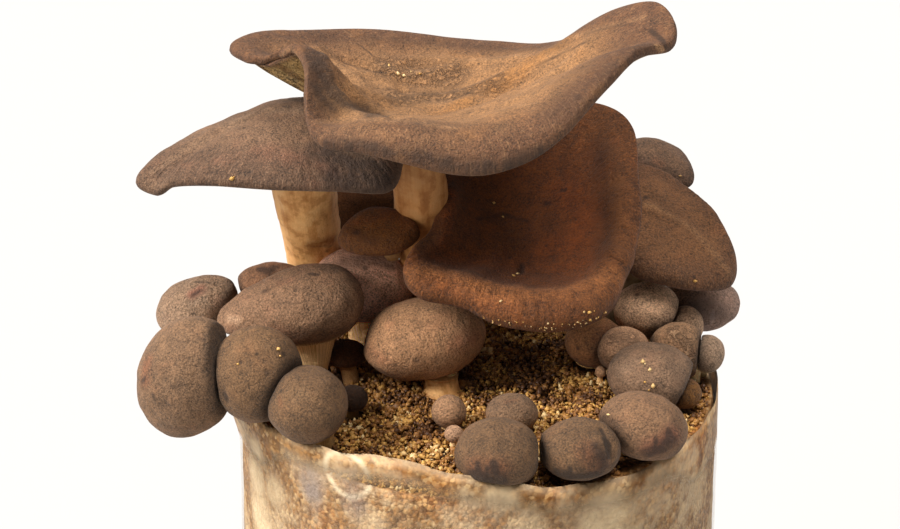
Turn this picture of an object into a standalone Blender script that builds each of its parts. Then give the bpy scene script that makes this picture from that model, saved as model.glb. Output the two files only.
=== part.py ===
"""Oyster mushroom grow bag: a film bag of grain substrate with a cluster of oyster mushrooms on top.

Every size and place below is in millimetres and is scaled by MM when a mesh is made. The origin is the
centre of the bag's base, +Z is up and the front of the cluster faces -Y. Each mushroom is a closed solid
warped from a sphere: the large ones have a cap and a stem of their own, and the young ones, which are
still one round button, are a cap and a stub in one.
"""

import math

import bmesh
import bpy
from mathutils import Matrix, Vector

MM = 0.001
GAP = 0.3  # clearance between two pieces that touch

# The bag, a 170 mm wide flat film tube that opens to a 110 mm cylinder, filled to 150 mm.
BAG_RADIUS = 55.0
FILM = 0.5
BAG_MIDDLE = 80.0
BAG_BULGE = 0.8
BASE_ROUND = 4.0
BAG_SEGMENTS = 30
RIM = [  # height of the cut film edge at each 30 degrees, from +X towards +Y
    150.0, 149.6, 149.4, 149.6, 150.6, 151.6, 152.6, 153.7, 153.4, 152.6, 148.6, 149.0,
]

SUBSTRATE_EDGE = 148.0
SUBSTRATE_DOME = 2.5
SUBSTRATE_RADIUS = BAG_RADIUS - FILM - GAP
SUBSTRATE_SEGMENTS = 30

BROWN = (0.145, 0.088, 0.058)
GREY_BROWN = (0.160, 0.112, 0.088)
PURPLE_BROWN = (0.150, 0.105, 0.098)
RED_BROWN = (0.130, 0.062, 0.034)
PALE_FLESH = (0.560, 0.400, 0.230)
GRAIN = (0.330, 0.190, 0.070)
FILM_WHITE = (0.720, 0.640, 0.500)

ROW_SPREAD = 1.5  # crowds a cap's rows towards its lip
FLESH_FALL = 0.7  # how soon a cap's flesh thins from the stem outwards
COLLAR = 0.4  # share of the underside over which it rises from the collar at the stem
GILL_FADE = (0.3, 0.8)  # the gills rise over the inner share of the underside and run out past the outer one

BUTTON_SEGMENTS = 12
BUTTON_ROWS = 8
BALL_ROWS = 6  # rows of a button that belong to its ball, the rest being its stub
OVER_RIM = 52.0  # a ball centred further out than this hangs over the rim, on a stub with a neck
BALL_SWEEP = 0.88  # share of the half turn, from the top, that the ball covers
PRESS_SOFTNESS = 0.12  # share of a ball's reach over which a pressed side rounds off
RIM_RAMP = (44.0, 48.5)  # reach from the bag's axis over which a ball is lifted to clear the rim
RIM_CLEAR = 0.1
FREE_REACH = BAG_RADIUS + 3.0  # beyond this a ball may hang lower than the rim
STEM_SEGMENTS = 10
STEM_ROWS = 6
STEM_WAIST = 0.14  # how much thinner a stem is halfway up

# Caps. pole is the upper surface above the stem, and axis the way the cap faces. The upper surface rises
# from the pole as share of the way out to the power dish, and turns down past lip_from to the margin.
# margin lists points of the edge, anticlockwise from above, as x, y, z and roll, how far the lip comes down
# there. thickness is the flesh at the stem and at the edge. Each fold is a ridge or a furrow: start, end,
# height and width.
CAPS = {
    "cap_top": dict(
        colour=BROWN,
        pole=(-13.8, 6.0, 216.0),
        axis=(0.0, 0.0, 1.0),
        segments=50,
        rows=14,
        dish=1.7,
        lip_from=0.72,
        stem_radius=5.8,
        thickness=(6.0, 2.2),
        gills=26,
        gill_depth=1.4,
        folds=[((-36.0, -2.0), (-20.0, -25.0), 2.2, 3.0), ((-31.0, -21.0), (-25.0, -26.0), -2.0, 5.0)],
        margin=[
            (39.6, -13.0, 236.2, 6.5), (40.6, -7.0, 238.2, 5.2), (37.5, 3.0, 239.6, 3.8),
            (30.0, 11.5, 235.0, 3.2), (24.0, 20.5, 226.0, 3.0), (15.6, 30.0, 219.8, 3.0),
            (5.0, 34.0, 218.8, 3.0), (-6.0, 35.0, 219.3, 3.0), (-23.5, 34.0, 221.8, 3.0),
            (-40.5, 28.0, 223.6, 3.0), (-49.5, 20.5, 226.0, 2.5), (-54.6, 11.5, 226.6, 2.0),
            (-51.0, 5.0, 226.4, 1.5), (-46.8, 2.0, 227.2, 1.0), (-42.8, 0.0, 230.0, 0.5),
            (-39.4, -2.0, 232.0, 0.5), (-36.5, -9.0, 230.6, 1.0), (-36.4, -18.0, 227.0, 1.5),
            (-35.8, -26.0, 223.3, 3.5), (-32.7, -30.5, 221.2, 6.0), (-25.1, -34.0, 221.2, 8.5),
            (-16.7, -37.0, 220.2, 10.5), (-6.2, -38.0, 218.0, 12.0), (2.1, -38.0, 218.0, 12.0),
            (10.5, -36.0, 220.3, 11.5), (17.3, -33.0, 224.5, 10.0), (22.4, -29.5, 229.2, 8.5),
            (27.0, -25.0, 232.8, 7.0), (33.0, -19.0, 236.8, 5.5),
        ],
    ),
    "cap_left": dict(
        colour=GREY_BROWN,
        pole=(-40.3, 9.0, 214.2),
        axis=(0.0, 0.0, 1.0),
        segments=36,
        rows=11,
        dish=1.75,
        lip_from=0.86,
        stem_radius=7.8,
        thickness=(8.0, 2.4),
        gills=18,
        gill_depth=1.3,
        folds=[],
        margin=[
            (-75.0, -5.5, 201.8, 2.0), (-70.6, -9.0, 200.6, 2.5), (-66.3, -10.5, 203.4, 2.0),
            (-57.7, -13.5, 205.0, 2.0), (-45.1, -15.5, 205.0, 2.0), (-31.8, -15.5, 204.6, 2.0),
            (-22.0, -11.5, 204.0, 2.0), (-20.0, -2.0, 203.8, 2.0), (-21.0, 12.0, 203.6, 2.0),
            (-27.0, 26.0, 202.0, 2.0), (-38.0, 32.5, 200.0, 2.0), (-51.0, 30.5, 199.0, 2.0),
            (-62.0, 20.0, 199.0, 2.0), (-71.5, 6.0, 200.8, 2.0),
        ],
    ),
    "cap_middle": dict(
        colour=RED_BROWN,
        pole=(9.0, 9.5, 183.0),
        axis=(0.0, -0.47, 0.88),
        segments=40,
        rows=12,
        dish=1.9,
        lip_from=0.76,
        stem_radius=6.5,
        thickness=(6.5, 3.0),
        gills=20,
        gill_depth=1.2,
        folds=[],
        margin=[
            (36.3, 12.0, 193.6, 4.0), (35.3, 24.0, 201.0, 3.5), (28.8, 32.0, 203.6, 3.0),
            (14.9, 36.0, 202.5, 3.0), (0.8, 32.0, 199.6, 3.0), (-5.4, 23.0, 195.0, 4.0),
            (-6.4, 13.0, 189.8, 4.0), (-8.8, 2.0, 184.7, 4.0), (-13.0, -6.0, 182.0, 4.5),
            (-14.5, -10.5, 179.8, 5.0), (-11.5, -13.5, 177.6, 5.0), (-2.7, -15.0, 176.3, 6.0),
            (3.7, -18.0, 173.8, 7.0), (11.5, -20.0, 173.0, 7.5), (18.1, -20.0, 172.8, 7.5),
            (25.1, -18.0, 173.8, 7.0), (30.4, -13.0, 175.0, 6.5), (33.4, -6.0, 179.2, 5.5),
            (36.1, 0.0, 184.4, 5.0), (37.2, 6.0, 189.1, 4.5),
        ],
    ),
    "cap_right": dict(
        colour=BROWN,
        pole=(44.0, 22.0, 182.0),
        axis=(0.24, -0.40, 0.88),
        segments=32,
        rows=10,
        dish=2.2,
        lip_from=0.84,
        stem_radius=5.0,
        thickness=(7.0, 2.4),
        gills=16,
        gill_depth=1.0,
        folds=[],
        margin=[
            (59.7, 18.0, 172.3, 2.0), (56.0, 24.5, 178.6, 2.0), (52.5, 30.0, 180.6, 2.0),
            (48.3, 34.0, 182.4, 2.0), (42.9, 37.0, 185.0, 2.0), (37.0, 36.0, 184.5, 2.0),
            (33.0, 29.0, 180.0, 2.0), (32.0, 19.0, 174.0, 2.0), (35.9, 10.5, 171.0, 2.0),
            (41.5, 8.0, 170.2, 2.0), (51.1, 8.5, 168.0, 2.0), (58.6, 12.5, 166.6, 2.0),
        ],
    ),
    "cap_rear": dict(
        colour=BROWN,
        pole=(43.5, 43.0, 190.0),
        axis=(0.22, -0.20, 0.95),
        segments=18,
        rows=8,
        dish=2.0,
        lip_from=0.8,
        stem_radius=3.0,
        thickness=(5.0, 2.0),
        gills=0,
        gill_depth=0.0,
        folds=[],
        margin=[
            (51.4, 40.0, 184.0, 1.0), (48.6, 47.0, 186.3, 1.0), (42.0, 50.0, 186.9, 1.0),
            (36.5, 46.0, 188.6, 1.0), (36.8, 40.5, 186.9, 1.0), (43.7, 37.5, 184.0, 1.0),
            (50.0, 37.0, 182.4, 1.0),
        ],
    ),
    "cap_shaded": dict(
        colour=BROWN,
        pole=(-26.5, 35.0, 180.0),
        axis=(0.0, -0.2, 0.98),
        segments=14,
        rows=8,
        dish=2.2,
        lip_from=0.8,
        stem_radius=2.8,
        thickness=(4.0, 2.0),
        gills=0,
        gill_depth=0.0,
        folds=[],
        margin=[
            (-19.5, 35.0, 178.0, 1.0), (-26.5, 42.0, 179.0, 1.0), (-33.5, 36.0, 178.5, 1.0),
            (-29.0, 28.5, 175.5, 1.0), (-22.0, 29.0, 175.0, 1.0),
        ],
    ),
    "cap_oval": dict(
        colour=RED_BROWN,
        pole=(-22.4, 4.0, 188.6),
        axis=(0.0, -0.2, 0.98),
        segments=18,
        rows=8,
        dish=2.4,
        lip_from=0.78,
        stem_radius=2.6,
        thickness=(5.0, 2.2),
        gills=0,
        gill_depth=0.0,
        folds=[],
        margin=[
            (-13.9, 3.0, 184.8, 2.0), (-18.5, 8.2, 186.2, 2.0), (-24.0, 9.8, 185.8, 2.0),
            (-29.5, 6.0, 184.4, 2.0), (-30.7, 1.5, 183.0, 2.0), (-26.0, -2.0, 182.6, 2.0),
            (-18.5, -1.5, 182.8, 2.0),
        ],
    ),
}

# Stems of those caps: the foot's centre and its radius. A foot with no height stands on the substrate,
# and one with a height grows from the side of another stem.
STEMS = {
    "stem_top": ("cap_top", (-10.0, 19.5), 6.3),
    "stem_left": ("cap_left", (-38.2, 29.2), 5.8),
    "stem_middle": ("cap_middle", (8.0, 32.0), 6.5),
    "stem_right": ("cap_right", (34.0, 26.0), 4.5),
    "stem_rear": ("cap_rear", (31.0, 38.0), 3.2),
    "stem_shaded": ("cap_shaded", (-21.0, 37.0), 3.0),
    "stem_oval": ("cap_oval", (-19.2, 9.4, 176.5), 1.8),
}

# Buttons: centre of the ball, its radii, foot on the substrate, stub radius, lean of the ball in the
# front view in degrees, and how much narrower it is at its -X end.
BUTTONS = {
    "button_left_outer": ((-64.5, -27, 163.3), (10.8, 11, 14.4), (-46, -3), 3.6, 14, 0, GREY_BROWN),
    "button_left_low": ((-48.4, -30, 165.2), (10.2, 10, 10.2), (-44, -15), 3.6, 8, 0, GREY_BROWN),
    "button_left_round": ((-37.5, -37, 161.6), (9.1, 8.8, 8.8), (-35, -31), 3, 0, 0, GREY_BROWN),
    "button_left_upper": ((-64.8, 10, 163), (10.4, 8, 6.6), (-45, 9), 3, -24, -0.1, GREY_BROWN),
    "button_left_rear": ((-47.4, 13, 167.3), (8.6, 5.8, 4.8), (-45.5, 17), 2.6, 0, 0, BROWN),
    "button_left_long": ((-42.4, -2, 168.5), (17, 10, 8.4), (-37.5, -6), 2.6, -12, 0.3, GREY_BROWN),
    "button_purple": ((-27, 12.5, 166.8), (11.8, 8.8, 8.4), (-25, 14), 4.5, 8, 0, PURPLE_BROWN),
    "button_dark_ball": ((-28.2, -19, 153.9), (3.6, 3.5, 3), (-28.2, -19), 1.6, 0, 0, BROWN),
    "button_under_long": ((-30.6, 0, 155.6), (5.1, 5, 2.8), (-29, -3), 2, 0, 0, BROWN),
    "button_front_pin": ((-6.5, -25, 153.7), (3.9, 3.9, 3.8), (-6.5, -25), 1.8, 0, 0, PURPLE_BROWN),
    "button_front_speck": ((-5.4, -33, 152.4), (2.1, 2.2, 1.9), (-5.4, -33), 1, 0, 0, GREY_BROWN),
    "button_front_small": ((7.5, -27.5, 154.6), (5.8, 5.5, 4.3), (7.5, -27.5), 2.4, 0, 0, GREY_BROWN),
    "button_front_left": ((4, -47, 156), (9.3, 8.5, 7.8), (4, -43), 3.4, 0, 0, GREY_BROWN),
    "button_front_middle": ((21.7, -45, 155.2), (9.1, 8, 6.6), (20, -41), 3.4, 0, 0, GREY_BROWN),
    "button_front_right": ((36.2, -36, 156), (10, 9, 7), (32, -32), 3.6, 14, 0, GREY_BROWN),
    "button_right_low": ((39.6, -11, 156.5), (10.3, 9, 6.8), (38, -11), 4, 6, 0, BROWN),
    "button_right_lobe": ((46.3, -21, 153.2), (3, 3.5, 2.8), (42.5, -19), 1.6, 0, 0, GREY_BROWN),
    "button_right_dark": ((26.6, 7, 155.8), (7.4, 7, 6.4), (26.6, 7), 3.4, 0, 0, BROWN),
    "button_right_inner": ((33.7, 1, 157), (6.2, 6, 5.5), (32.5, 1.5), 2.6, 0, 0, BROWN),
    "button_right_top": ((39.9, 13, 160.4), (7.8, 7, 6.8), (38.5, 13), 3, 0, 0, BROWN),
    "button_right_outer": ((46.2, 3, 156), (6.8, 6.5, 6.4), (43, 3), 3, 0, 0, BROWN),
    "button_right_small": ((50, 16.5, 154.8), (2.9, 3, 2.9), (46, 15), 1.6, 0, 0, BROWN),
    "button_right_grey": ((55.8, 24, 155.4), (7.3, 7, 4.8), (42.5, 20.5), 2.6, 0, 0, PURPLE_BROWN),
    "button_right_edge": ((54, 0.5, 155.2), (3, 4, 4.6), (49.5, -3.5), 1.3, 0, 0, BROWN),
    "button_right_pin": ((28.2, -3.5, 153.6), (1.7, 1.8, 1.8), (28.2, -3.5), 0.9, 0, 0, GREY_BROWN),
}
FRONT_CAP = ((-12.1, -4.0, 162.0), (14.4, 11.0, 9.0), GREY_BROWN)
FRONT_STEM = ((-8.0, -8.5), (-8.6, -6.0), 4.4, 4.0)  # foot, top, and the radius at each
FRONT_FLAT = 0.8  # the front cap's flat underside, as a share of its radius below its centre
SMALL_BUTTON = 4.0  # a ball under this radius takes fewer segments


def smooth(low, high, value):
    """0 below low, 1 above high, with a smooth rise between them."""
    share = max(0.0, min(1.0, (value - low) / (high - low)))
    return share * share * (3 - 2 * share)


def around(stations, turn):
    """The stations of a closed ring, joined by a smooth curve, at a share turn of the way round."""
    count = len(stations)
    step = turn * count
    first = math.floor(step)
    t = step - first
    a, b, c, d = (stations[(first + k) % count] for k in (-1, 0, 1, 2))
    weights = (
        (-t + 2 * t * t - t**3) / 2,
        (2 - 5 * t * t + 3 * t**3) / 2,
        (t + 4 * t * t - 3 * t**3) / 2,
        (t**3 - t * t) / 2,
    )
    return [sum(w * p for w, p in zip(weights, points)) for points in zip(a, b, c, d)]


def rim_height(turn):
    return around([(height,) for height in RIM], turn)[0]


def substrate_top(x, y):
    return SUBSTRATE_EDGE + SUBSTRATE_DOME * (1 - (x * x + y * y) / SUBSTRATE_RADIUS**2)


def rest_height(x, y):
    """The lowest a button may reach: on the substrate in the bag, over the rim, or free well outside."""
    turn, reach = math.atan2(y, x) / math.tau % 1, math.hypot(x, y)
    if reach > FREE_REACH:
        return 0.0
    over_rim = smooth(*RIM_RAMP, reach)
    return substrate_top(x, y) * (1 - over_rim) + (rim_height(turn) + RIM_CLEAR) * over_rim + GAP


def warped_sphere(segments, rows, place):
    """A UV sphere whose points go where place(row, turn) says, row counting down from the top pole."""
    mesh = bmesh.new()
    bmesh.ops.create_uvsphere(mesh, u_segments=segments, v_segments=rows, radius=1)
    for vert in mesh.verts:
        row = round(math.acos(max(-1.0, min(1.0, vert.co.z))) / math.pi * rows)
        column = round(math.atan2(vert.co.y, vert.co.x) / math.tau * segments) % segments
        vert.co = place(row, column / segments)
    return mesh


def principled(name, colour, roughness, alpha=1.0):
    material = bpy.data.materials.new(name)
    material.use_nodes = True
    shader = material.node_tree.nodes["Principled BSDF"]
    shader.inputs["Base Color"].default_value = (*colour, 1)
    shader.inputs["Roughness"].default_value = roughness
    shader.inputs["Alpha"].default_value = alpha
    return material


def add_object(name, mesh, collection, material):
    """A new object from mesh, scaled from millimetres to metres, smooth and facing out."""
    bmesh.ops.scale(mesh, vec=(MM, MM, MM), verts=mesh.verts)
    bmesh.ops.recalc_face_normals(mesh, faces=mesh.faces)
    data = bpy.data.meshes.new(name)
    mesh.to_mesh(data)
    mesh.free()
    data.shade_smooth()
    data.materials.append(material)
    obj = bpy.data.objects.new(name, data)
    collection.objects.link(obj)
    return obj


def cap_top_point(cap, share, turn):
    """A point of the cap's upper surface, share of the way from the pole to the margin."""
    *edge, roll = around(cap["margin"], turn)
    pole, axis = Vector(cap["pole"]), Vector(cap["axis"]).normalized()
    out = Vector(edge) - pole
    level = out.dot(axis)
    lip = max(0.0, (share - cap["lip_from"]) / (1 - cap["lip_from"])) ** 2
    point = pole + (out - axis * level) * share
    height = (level + roll) * share ** cap["dish"] - roll * lip
    for start, end, rise, width in cap["folds"]:
        along = Vector(end) - Vector(start)
        offset = point.xy - Vector(start)
        t = max(0.0, min(1.0, offset.dot(along) / along.length_squared))
        height += rise * math.exp(-((offset - along * t).length / width) ** 2)
    return point + axis * height


def cap_frame(cap, share, turn):
    """The upper point there, the surface normal, and the direction out along the surface."""
    step = 0.01
    inner, outer = cap_top_point(cap, share - step, turn), cap_top_point(cap, share, turn)
    before = cap_top_point(cap, share, (turn - step / 4) % 1)
    after = cap_top_point(cap, share, (turn + step / 4) % 1)
    outwards = (outer - inner).normalized()
    return outer, outwards.cross(after - before).normalized(), outwards


def cap_under_point(cap, share, turn, gill):
    """A point of the underside, share of the way from the stem's edge to the margin."""
    pole, axis = Vector(cap["pole"]), Vector(cap["axis"]).normalized()
    at_stem, at_edge = cap["thickness"]
    out = Vector(around(cap["margin"], turn)[:3]) - pole
    out -= axis * out.dot(axis)
    stem_share = cap["stem_radius"] / out.length
    whole = stem_share + (1 - stem_share) * share
    top, normal, _ = cap_frame(cap, whole, turn)
    thick = at_stem + (at_edge - at_stem) * whole**FLESH_FALL
    rising, falling = smooth(0.0, GILL_FADE[0], share), smooth(1.0, GILL_FADE[1], share)
    thick += cap["gill_depth"] * gill * rising * falling
    collar = pole - axis * at_stem + out.normalized() * cap["stem_radius"]
    return collar.lerp(top - normal * thick, smooth(0.0, COLLAR, share))


def cap_mesh(cap):
    """Upper rows spread towards the lip, one row for the rounded edge, then the underside to the stem."""
    rows, pole, axis = cap["rows"], Vector(cap["pole"]), Vector(cap["axis"]).normalized()
    edge_row = (rows + 1) // 2

    def place(row, turn):
        if row == 0:
            return pole
        if row == rows:
            return pole - axis * cap["thickness"][0]
        if row < edge_row:
            return cap_top_point(cap, 1 - (1 - row / (edge_row - 1)) ** ROW_SPREAD, turn)
        if row == edge_row:
            top, normal, outwards = cap_frame(cap, 1.0, turn)
            return top + (outwards - normal) * cap["thickness"][1] / 2
        gill = math.cos(math.tau * cap["gills"] * turn) if cap["gills"] else 0.0
        return cap_under_point(cap, (rows - 1 - row) / (rows - 2 - edge_row), turn, gill)

    return warped_sphere(cap["segments"], rows, place)


def ring_point(centre, normal, radius, turn):
    """A point of a circle round centre that faces along normal."""
    across = Vector((1, 0, 0))
    across = (across - normal * across.dot(normal)).normalized()
    angle = math.tau * turn
    return centre + (across * math.cos(angle) + normal.cross(across) * math.sin(angle)) * radius


def stem_mesh(foot, foot_radius, top, axis, top_radius):
    """A bent tube with flat ends, level with the substrate below and square to the cap's axis above."""
    on_substrate = len(foot) == 2
    low = Vector((*foot, substrate_top(*foot))) if on_substrate else Vector(foot)
    rising = Vector((0, 0, 1)) if on_substrate else (top - low).normalized()
    bend = (top - low).length / 3
    points = (low, low + rising * bend, top - axis * bend, top)

    def place(row, turn):
        t = 1 - max(0, min(STEM_ROWS - 2, row - 1)) / (STEM_ROWS - 2)
        weights = ((1 - t) ** 3, 3 * t * (1 - t) ** 2, 3 * t * t * (1 - t), t**3)
        centre = sum((p * w for p, w in zip(points, weights)), Vector())
        waist = 1 - STEM_WAIST * math.sin(math.pi * t)
        radius = (foot_radius + (top_radius - foot_radius) * t) * waist * (0 < row < STEM_ROWS)
        point = ring_point(centre, rising.lerp(axis, t).normalized(), radius, turn)
        if on_substrate and row >= STEM_ROWS - 1:
            point.z = substrate_top(point.x, point.y) + GAP
        return point

    return warped_sphere(STEM_SEGMENTS, STEM_ROWS, place)


def ball_reach(radii, direction):
    """How far an ellipsoid reaches from its centre along a direction."""
    return math.sqrt(sum((r * d) ** 2 for r, d in zip(radii, direction)))


def contact_planes():
    """For each ball, the planes that part it from the balls it presses against: normal and reach."""
    balls = {name: (Vector(spec[0]), spec[1]) for name, spec in BUTTONS.items()}
    balls["cap_front"] = (Vector(FRONT_CAP[0]), FRONT_CAP[1])
    planes = {name: [] for name in balls}
    for name, (centre, radii) in balls.items():
        for other, (other_centre, other_radii) in balls.items():
            apart = other_centre - centre
            if other == name:
                continue
            direction = apart.normalized()
            mine, theirs = ball_reach(radii, direction), ball_reach(other_radii, direction)
            overlap = mine + theirs - apart.length
            if overlap > -GAP:
                planes[name].append((direction, mine - (overlap + GAP) / 2))
    return planes


def pressed(point, centre, planes):
    """The point held back, softly, behind each plane round centre."""
    for direction, reach in planes:
        soft = PRESS_SOFTNESS * reach
        beyond = (point - centre).dot(direction) - (reach - soft)
        if beyond > 0:
            point = point - direction * (beyond - soft * (1 - math.exp(-beyond / soft)))
    return point


def ball_point(centre, radii, pole_turn, angle, turn, lean=0.0, narrow=0.0):
    """A point of an ellipsoid, angle down from the pole that pole_turn gives."""
    way = pole_turn @ Vector(
        (
            math.sin(angle) * math.cos(math.tau * turn),
            math.sin(angle) * math.sin(math.tau * turn),
            math.cos(angle),
        )
    )
    waist = 1 + narrow * way.x
    local = Vector((radii[0] * way.x, radii[1] * way.y * waist, radii[2] * way.z * waist))
    return centre + Matrix.Rotation(math.radians(lean), 3, "Y") @ local


def button_mesh(centre, radii, foot, stub, lean, narrow, planes):
    """A round young mushroom: a ball pressed against its neighbours, and a stub down to the substrate."""
    centre, low = Vector(centre), Vector((*foot, substrate_top(*foot)))
    towards = low - centre
    pole_turn = Vector((0, 0, -1)).rotation_difference(
        Vector([d / r for d, r in zip(towards, radii)])
    ).to_matrix()
    segments = BUTTON_SEGMENTS if max(radii) > SMALL_BUTTON else BUTTON_SEGMENTS - 4
    ball_rows = BALL_ROWS - 1 if centre.xy.length > OVER_RIM else BALL_ROWS

    def place(row, turn):
        if row <= ball_rows:
            angle = math.pi * BALL_SWEEP * row / ball_rows
            point = ball_point(centre, radii, pole_turn, angle, turn, lean, narrow)
            point = pressed(point, centre, planes)
            point.z = max(point.z, rest_height(point.x, point.y))
            return point
        point = ring_point(low, Vector((0, 0, 1)), stub * (row < BUTTON_ROWS), turn)
        if row == BALL_ROWS:
            point.z = max(RIM) + stub / 2
            return point
        point.z = substrate_top(point.x, point.y) + GAP
        return point

    return warped_sphere(segments, BUTTON_ROWS, place)


def front_cap_mesh(planes):
    """The front cap, a bun with a flat underside that its own stem carries."""
    centre, radii, _ = FRONT_CAP
    centre = Vector(centre)
    stem_top = front_stem_top()

    def place(row, turn):
        angle = math.pi * BALL_SWEEP * min(row, BALL_ROWS) / BALL_ROWS
        point = pressed(ball_point(centre, radii, Matrix.Identity(3), angle, turn), centre, planes)
        if row > BALL_ROWS:
            point = ring_point(stem_top, Vector((0, 0, 1)), FRONT_STEM[3] * (row < BUTTON_ROWS), turn)
        point.z = max(point.z, stem_top.z)
        return point

    return warped_sphere(BUTTON_SEGMENTS + 4, BUTTON_ROWS, place)


def front_stem_top():
    centre, radii, _ = FRONT_CAP
    return Vector((*FRONT_STEM[1], centre[2] - FRONT_FLAT * radii[2]))


def substrate_mesh():
    """A plug that fills the film: domed on top, straight down the side, rounded at the base."""
    dome_rows, rows = 5, 8
    base = FILM + GAP

    def place(row, turn):
        if row <= dome_rows:
            radius = SUBSTRATE_RADIUS * row / dome_rows
        else:
            radius = (SUBSTRATE_RADIUS, SUBSTRATE_RADIUS - BASE_ROUND, 0.0)[row - dome_rows - 1]
        point = ring_point(Vector(), Vector((0, 0, 1)), radius, turn)
        if row <= dome_rows:
            point.z = substrate_top(point.x, point.y)
        else:
            point.z = base + BASE_ROUND if row == dome_rows + 1 else base
        return point

    return warped_sphere(SUBSTRATE_SEGMENTS, rows, place)


def add_bag(collection):
    """An open tube with a closed, rounded base, thickened inwards to the film."""
    mesh = bmesh.new()
    base = bmesh.ops.create_circle(
        mesh, cap_ends=True, radius=BAG_RADIUS - BASE_ROUND, segments=BAG_SEGMENTS
    )
    edges = list({edge for vert in base["verts"] for edge in vert.link_edges})
    for height in (BASE_ROUND, BAG_MIDDLE, None):
        ring = bmesh.ops.extrude_edge_only(mesh, edges=edges)["geom"]
        edges = [item for item in ring if isinstance(item, bmesh.types.BMEdge)]
        for vert in [item for item in ring if isinstance(item, bmesh.types.BMVert)]:
            turn = math.atan2(vert.co.y, vert.co.x) / math.tau % 1
            top = rim_height(turn) if height is None else height
            radius = BAG_RADIUS + (BAG_BULGE if height == BAG_MIDDLE else 0.0)
            vert.co = (*(vert.co.xy.normalized() * radius), top)
    bag = add_object("bag", mesh, collection, principled("bag", FILM_WHITE, 0.35, 0.5))
    thick = bag.modifiers.new("Film", "SOLIDIFY")
    thick.thickness = FILM * MM
    thick.offset = -1
    thick.use_even_offset = True
    return bag


def main():
    for obj in list(bpy.data.objects):
        bpy.data.objects.remove(obj)
    collection = bpy.data.collections.new("oyster_mushroom_grow_bag")
    bpy.context.scene.collection.children.link(collection)

    add_bag(collection)
    add_object("substrate", substrate_mesh(), collection, principled("substrate", GRAIN, 0.9))
    for name, cap in CAPS.items():
        add_object(name, cap_mesh(cap), collection, principled(name, cap["colour"], 0.75))
    for name, (cap_name, foot, foot_radius) in STEMS.items():
        cap = CAPS[cap_name]
        axis = Vector(cap["axis"]).normalized()
        top = Vector(cap["pole"]) - axis * (cap["thickness"][0] + GAP)
        mesh = stem_mesh(foot, foot_radius, top, axis, cap["stem_radius"])
        add_object(name, mesh, collection, principled(name, PALE_FLESH, 0.7))
    planes = contact_planes()
    for name, (centre, radii, foot, stub, lean, narrow, colour) in BUTTONS.items():
        mesh = button_mesh(centre, radii, foot, stub, lean, narrow, planes[name])
        add_object(name, mesh, collection, principled(name, colour, 0.75))
    mesh = front_cap_mesh(planes["cap_front"])
    add_object("cap_front", mesh, collection, principled("cap_front", FRONT_CAP[2], 0.75))
    foot, _, foot_radius, top_radius = FRONT_STEM
    up = Vector((0, 0, 1))
    mesh = stem_mesh(foot, foot_radius, front_stem_top() - up * GAP, up, top_radius)
    add_object("stem_front", mesh, collection, principled("stem_front", PALE_FLESH, 0.7))


main()
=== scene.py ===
"""Looks of the oyster mushroom grow bag, laid out as an add-on and run as a script.

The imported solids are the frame. Each piece below follows the form of its solid, from the same named values,
and adds what the solids leave out: gills, fibres, pits, grains, folds in the film and the finishes. Sizes and
places are in millimetres until a mesh is written, and a seen place is a pixel of the 900 x 529 photograph,
which is carried back along the camera's ray to the surface that it shows.
"""

import math
import random

import bmesh
import bpy
import numpy as np
from bpy.props import FloatProperty, FloatVectorProperty, IntProperty, PointerProperty
from mathutils import Euler, Matrix, Vector, noise
from mathutils.bvhtree import BVHTree


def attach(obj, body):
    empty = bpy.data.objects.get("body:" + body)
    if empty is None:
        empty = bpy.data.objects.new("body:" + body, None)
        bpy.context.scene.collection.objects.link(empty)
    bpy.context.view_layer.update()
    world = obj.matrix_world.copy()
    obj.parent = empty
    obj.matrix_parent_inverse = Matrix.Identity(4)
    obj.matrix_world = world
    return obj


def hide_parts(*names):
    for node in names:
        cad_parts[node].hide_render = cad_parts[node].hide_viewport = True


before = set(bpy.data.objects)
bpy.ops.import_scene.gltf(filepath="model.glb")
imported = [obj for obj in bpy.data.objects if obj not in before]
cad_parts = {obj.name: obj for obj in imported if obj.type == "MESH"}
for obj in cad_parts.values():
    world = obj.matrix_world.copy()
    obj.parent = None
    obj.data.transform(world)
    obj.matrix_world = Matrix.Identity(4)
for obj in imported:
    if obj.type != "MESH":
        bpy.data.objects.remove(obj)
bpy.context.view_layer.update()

bl_info = {
    "name": "Oyster mushroom grow bag",
    "version": (1, 0, 0),
    "blender": (4, 5, 0),
    "location": "View3D > Sidebar > Grow bag",
    "description": "Models the caps, stems, buttons, substrate and film of a grow bag in fruit",
    "category": "Add Mesh",
}

MM = 0.001
TAU = math.tau

FLOOR_SIZE = 12.0  # in metres
FLOOR_GLOW = 0.13  # light of the floor's own, which keeps the shade on it faint
FILL_COLOUR = (1.0, 0.99, 0.98, 1.0)
LIGHT_COLOUR = (1.0, 0.965, 0.92)
LIGHT_WIDTH = 32.0  # in degrees, which softens the shade
LIGHTS = {  # where each light stands: degrees round from the camera, to the right of it, and degrees up
    "key": (-75.0, 40.0),
    "low": (-45.0, 15.0),
    "high": (65.0, 75.0),
}

# The camera that took the photograph: how far it stands from the point it looks at, and how steeply.
LOOK_AT = (-6.25, 10.8, 173.2)
CAMERA_DISTANCE = 650.0
CAMERA_PITCH = math.radians(25.0)
PHOTO_SIZE = (900, 529)
FOCAL_PIXELS = 2808.0
SENSOR = 36.0

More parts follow.
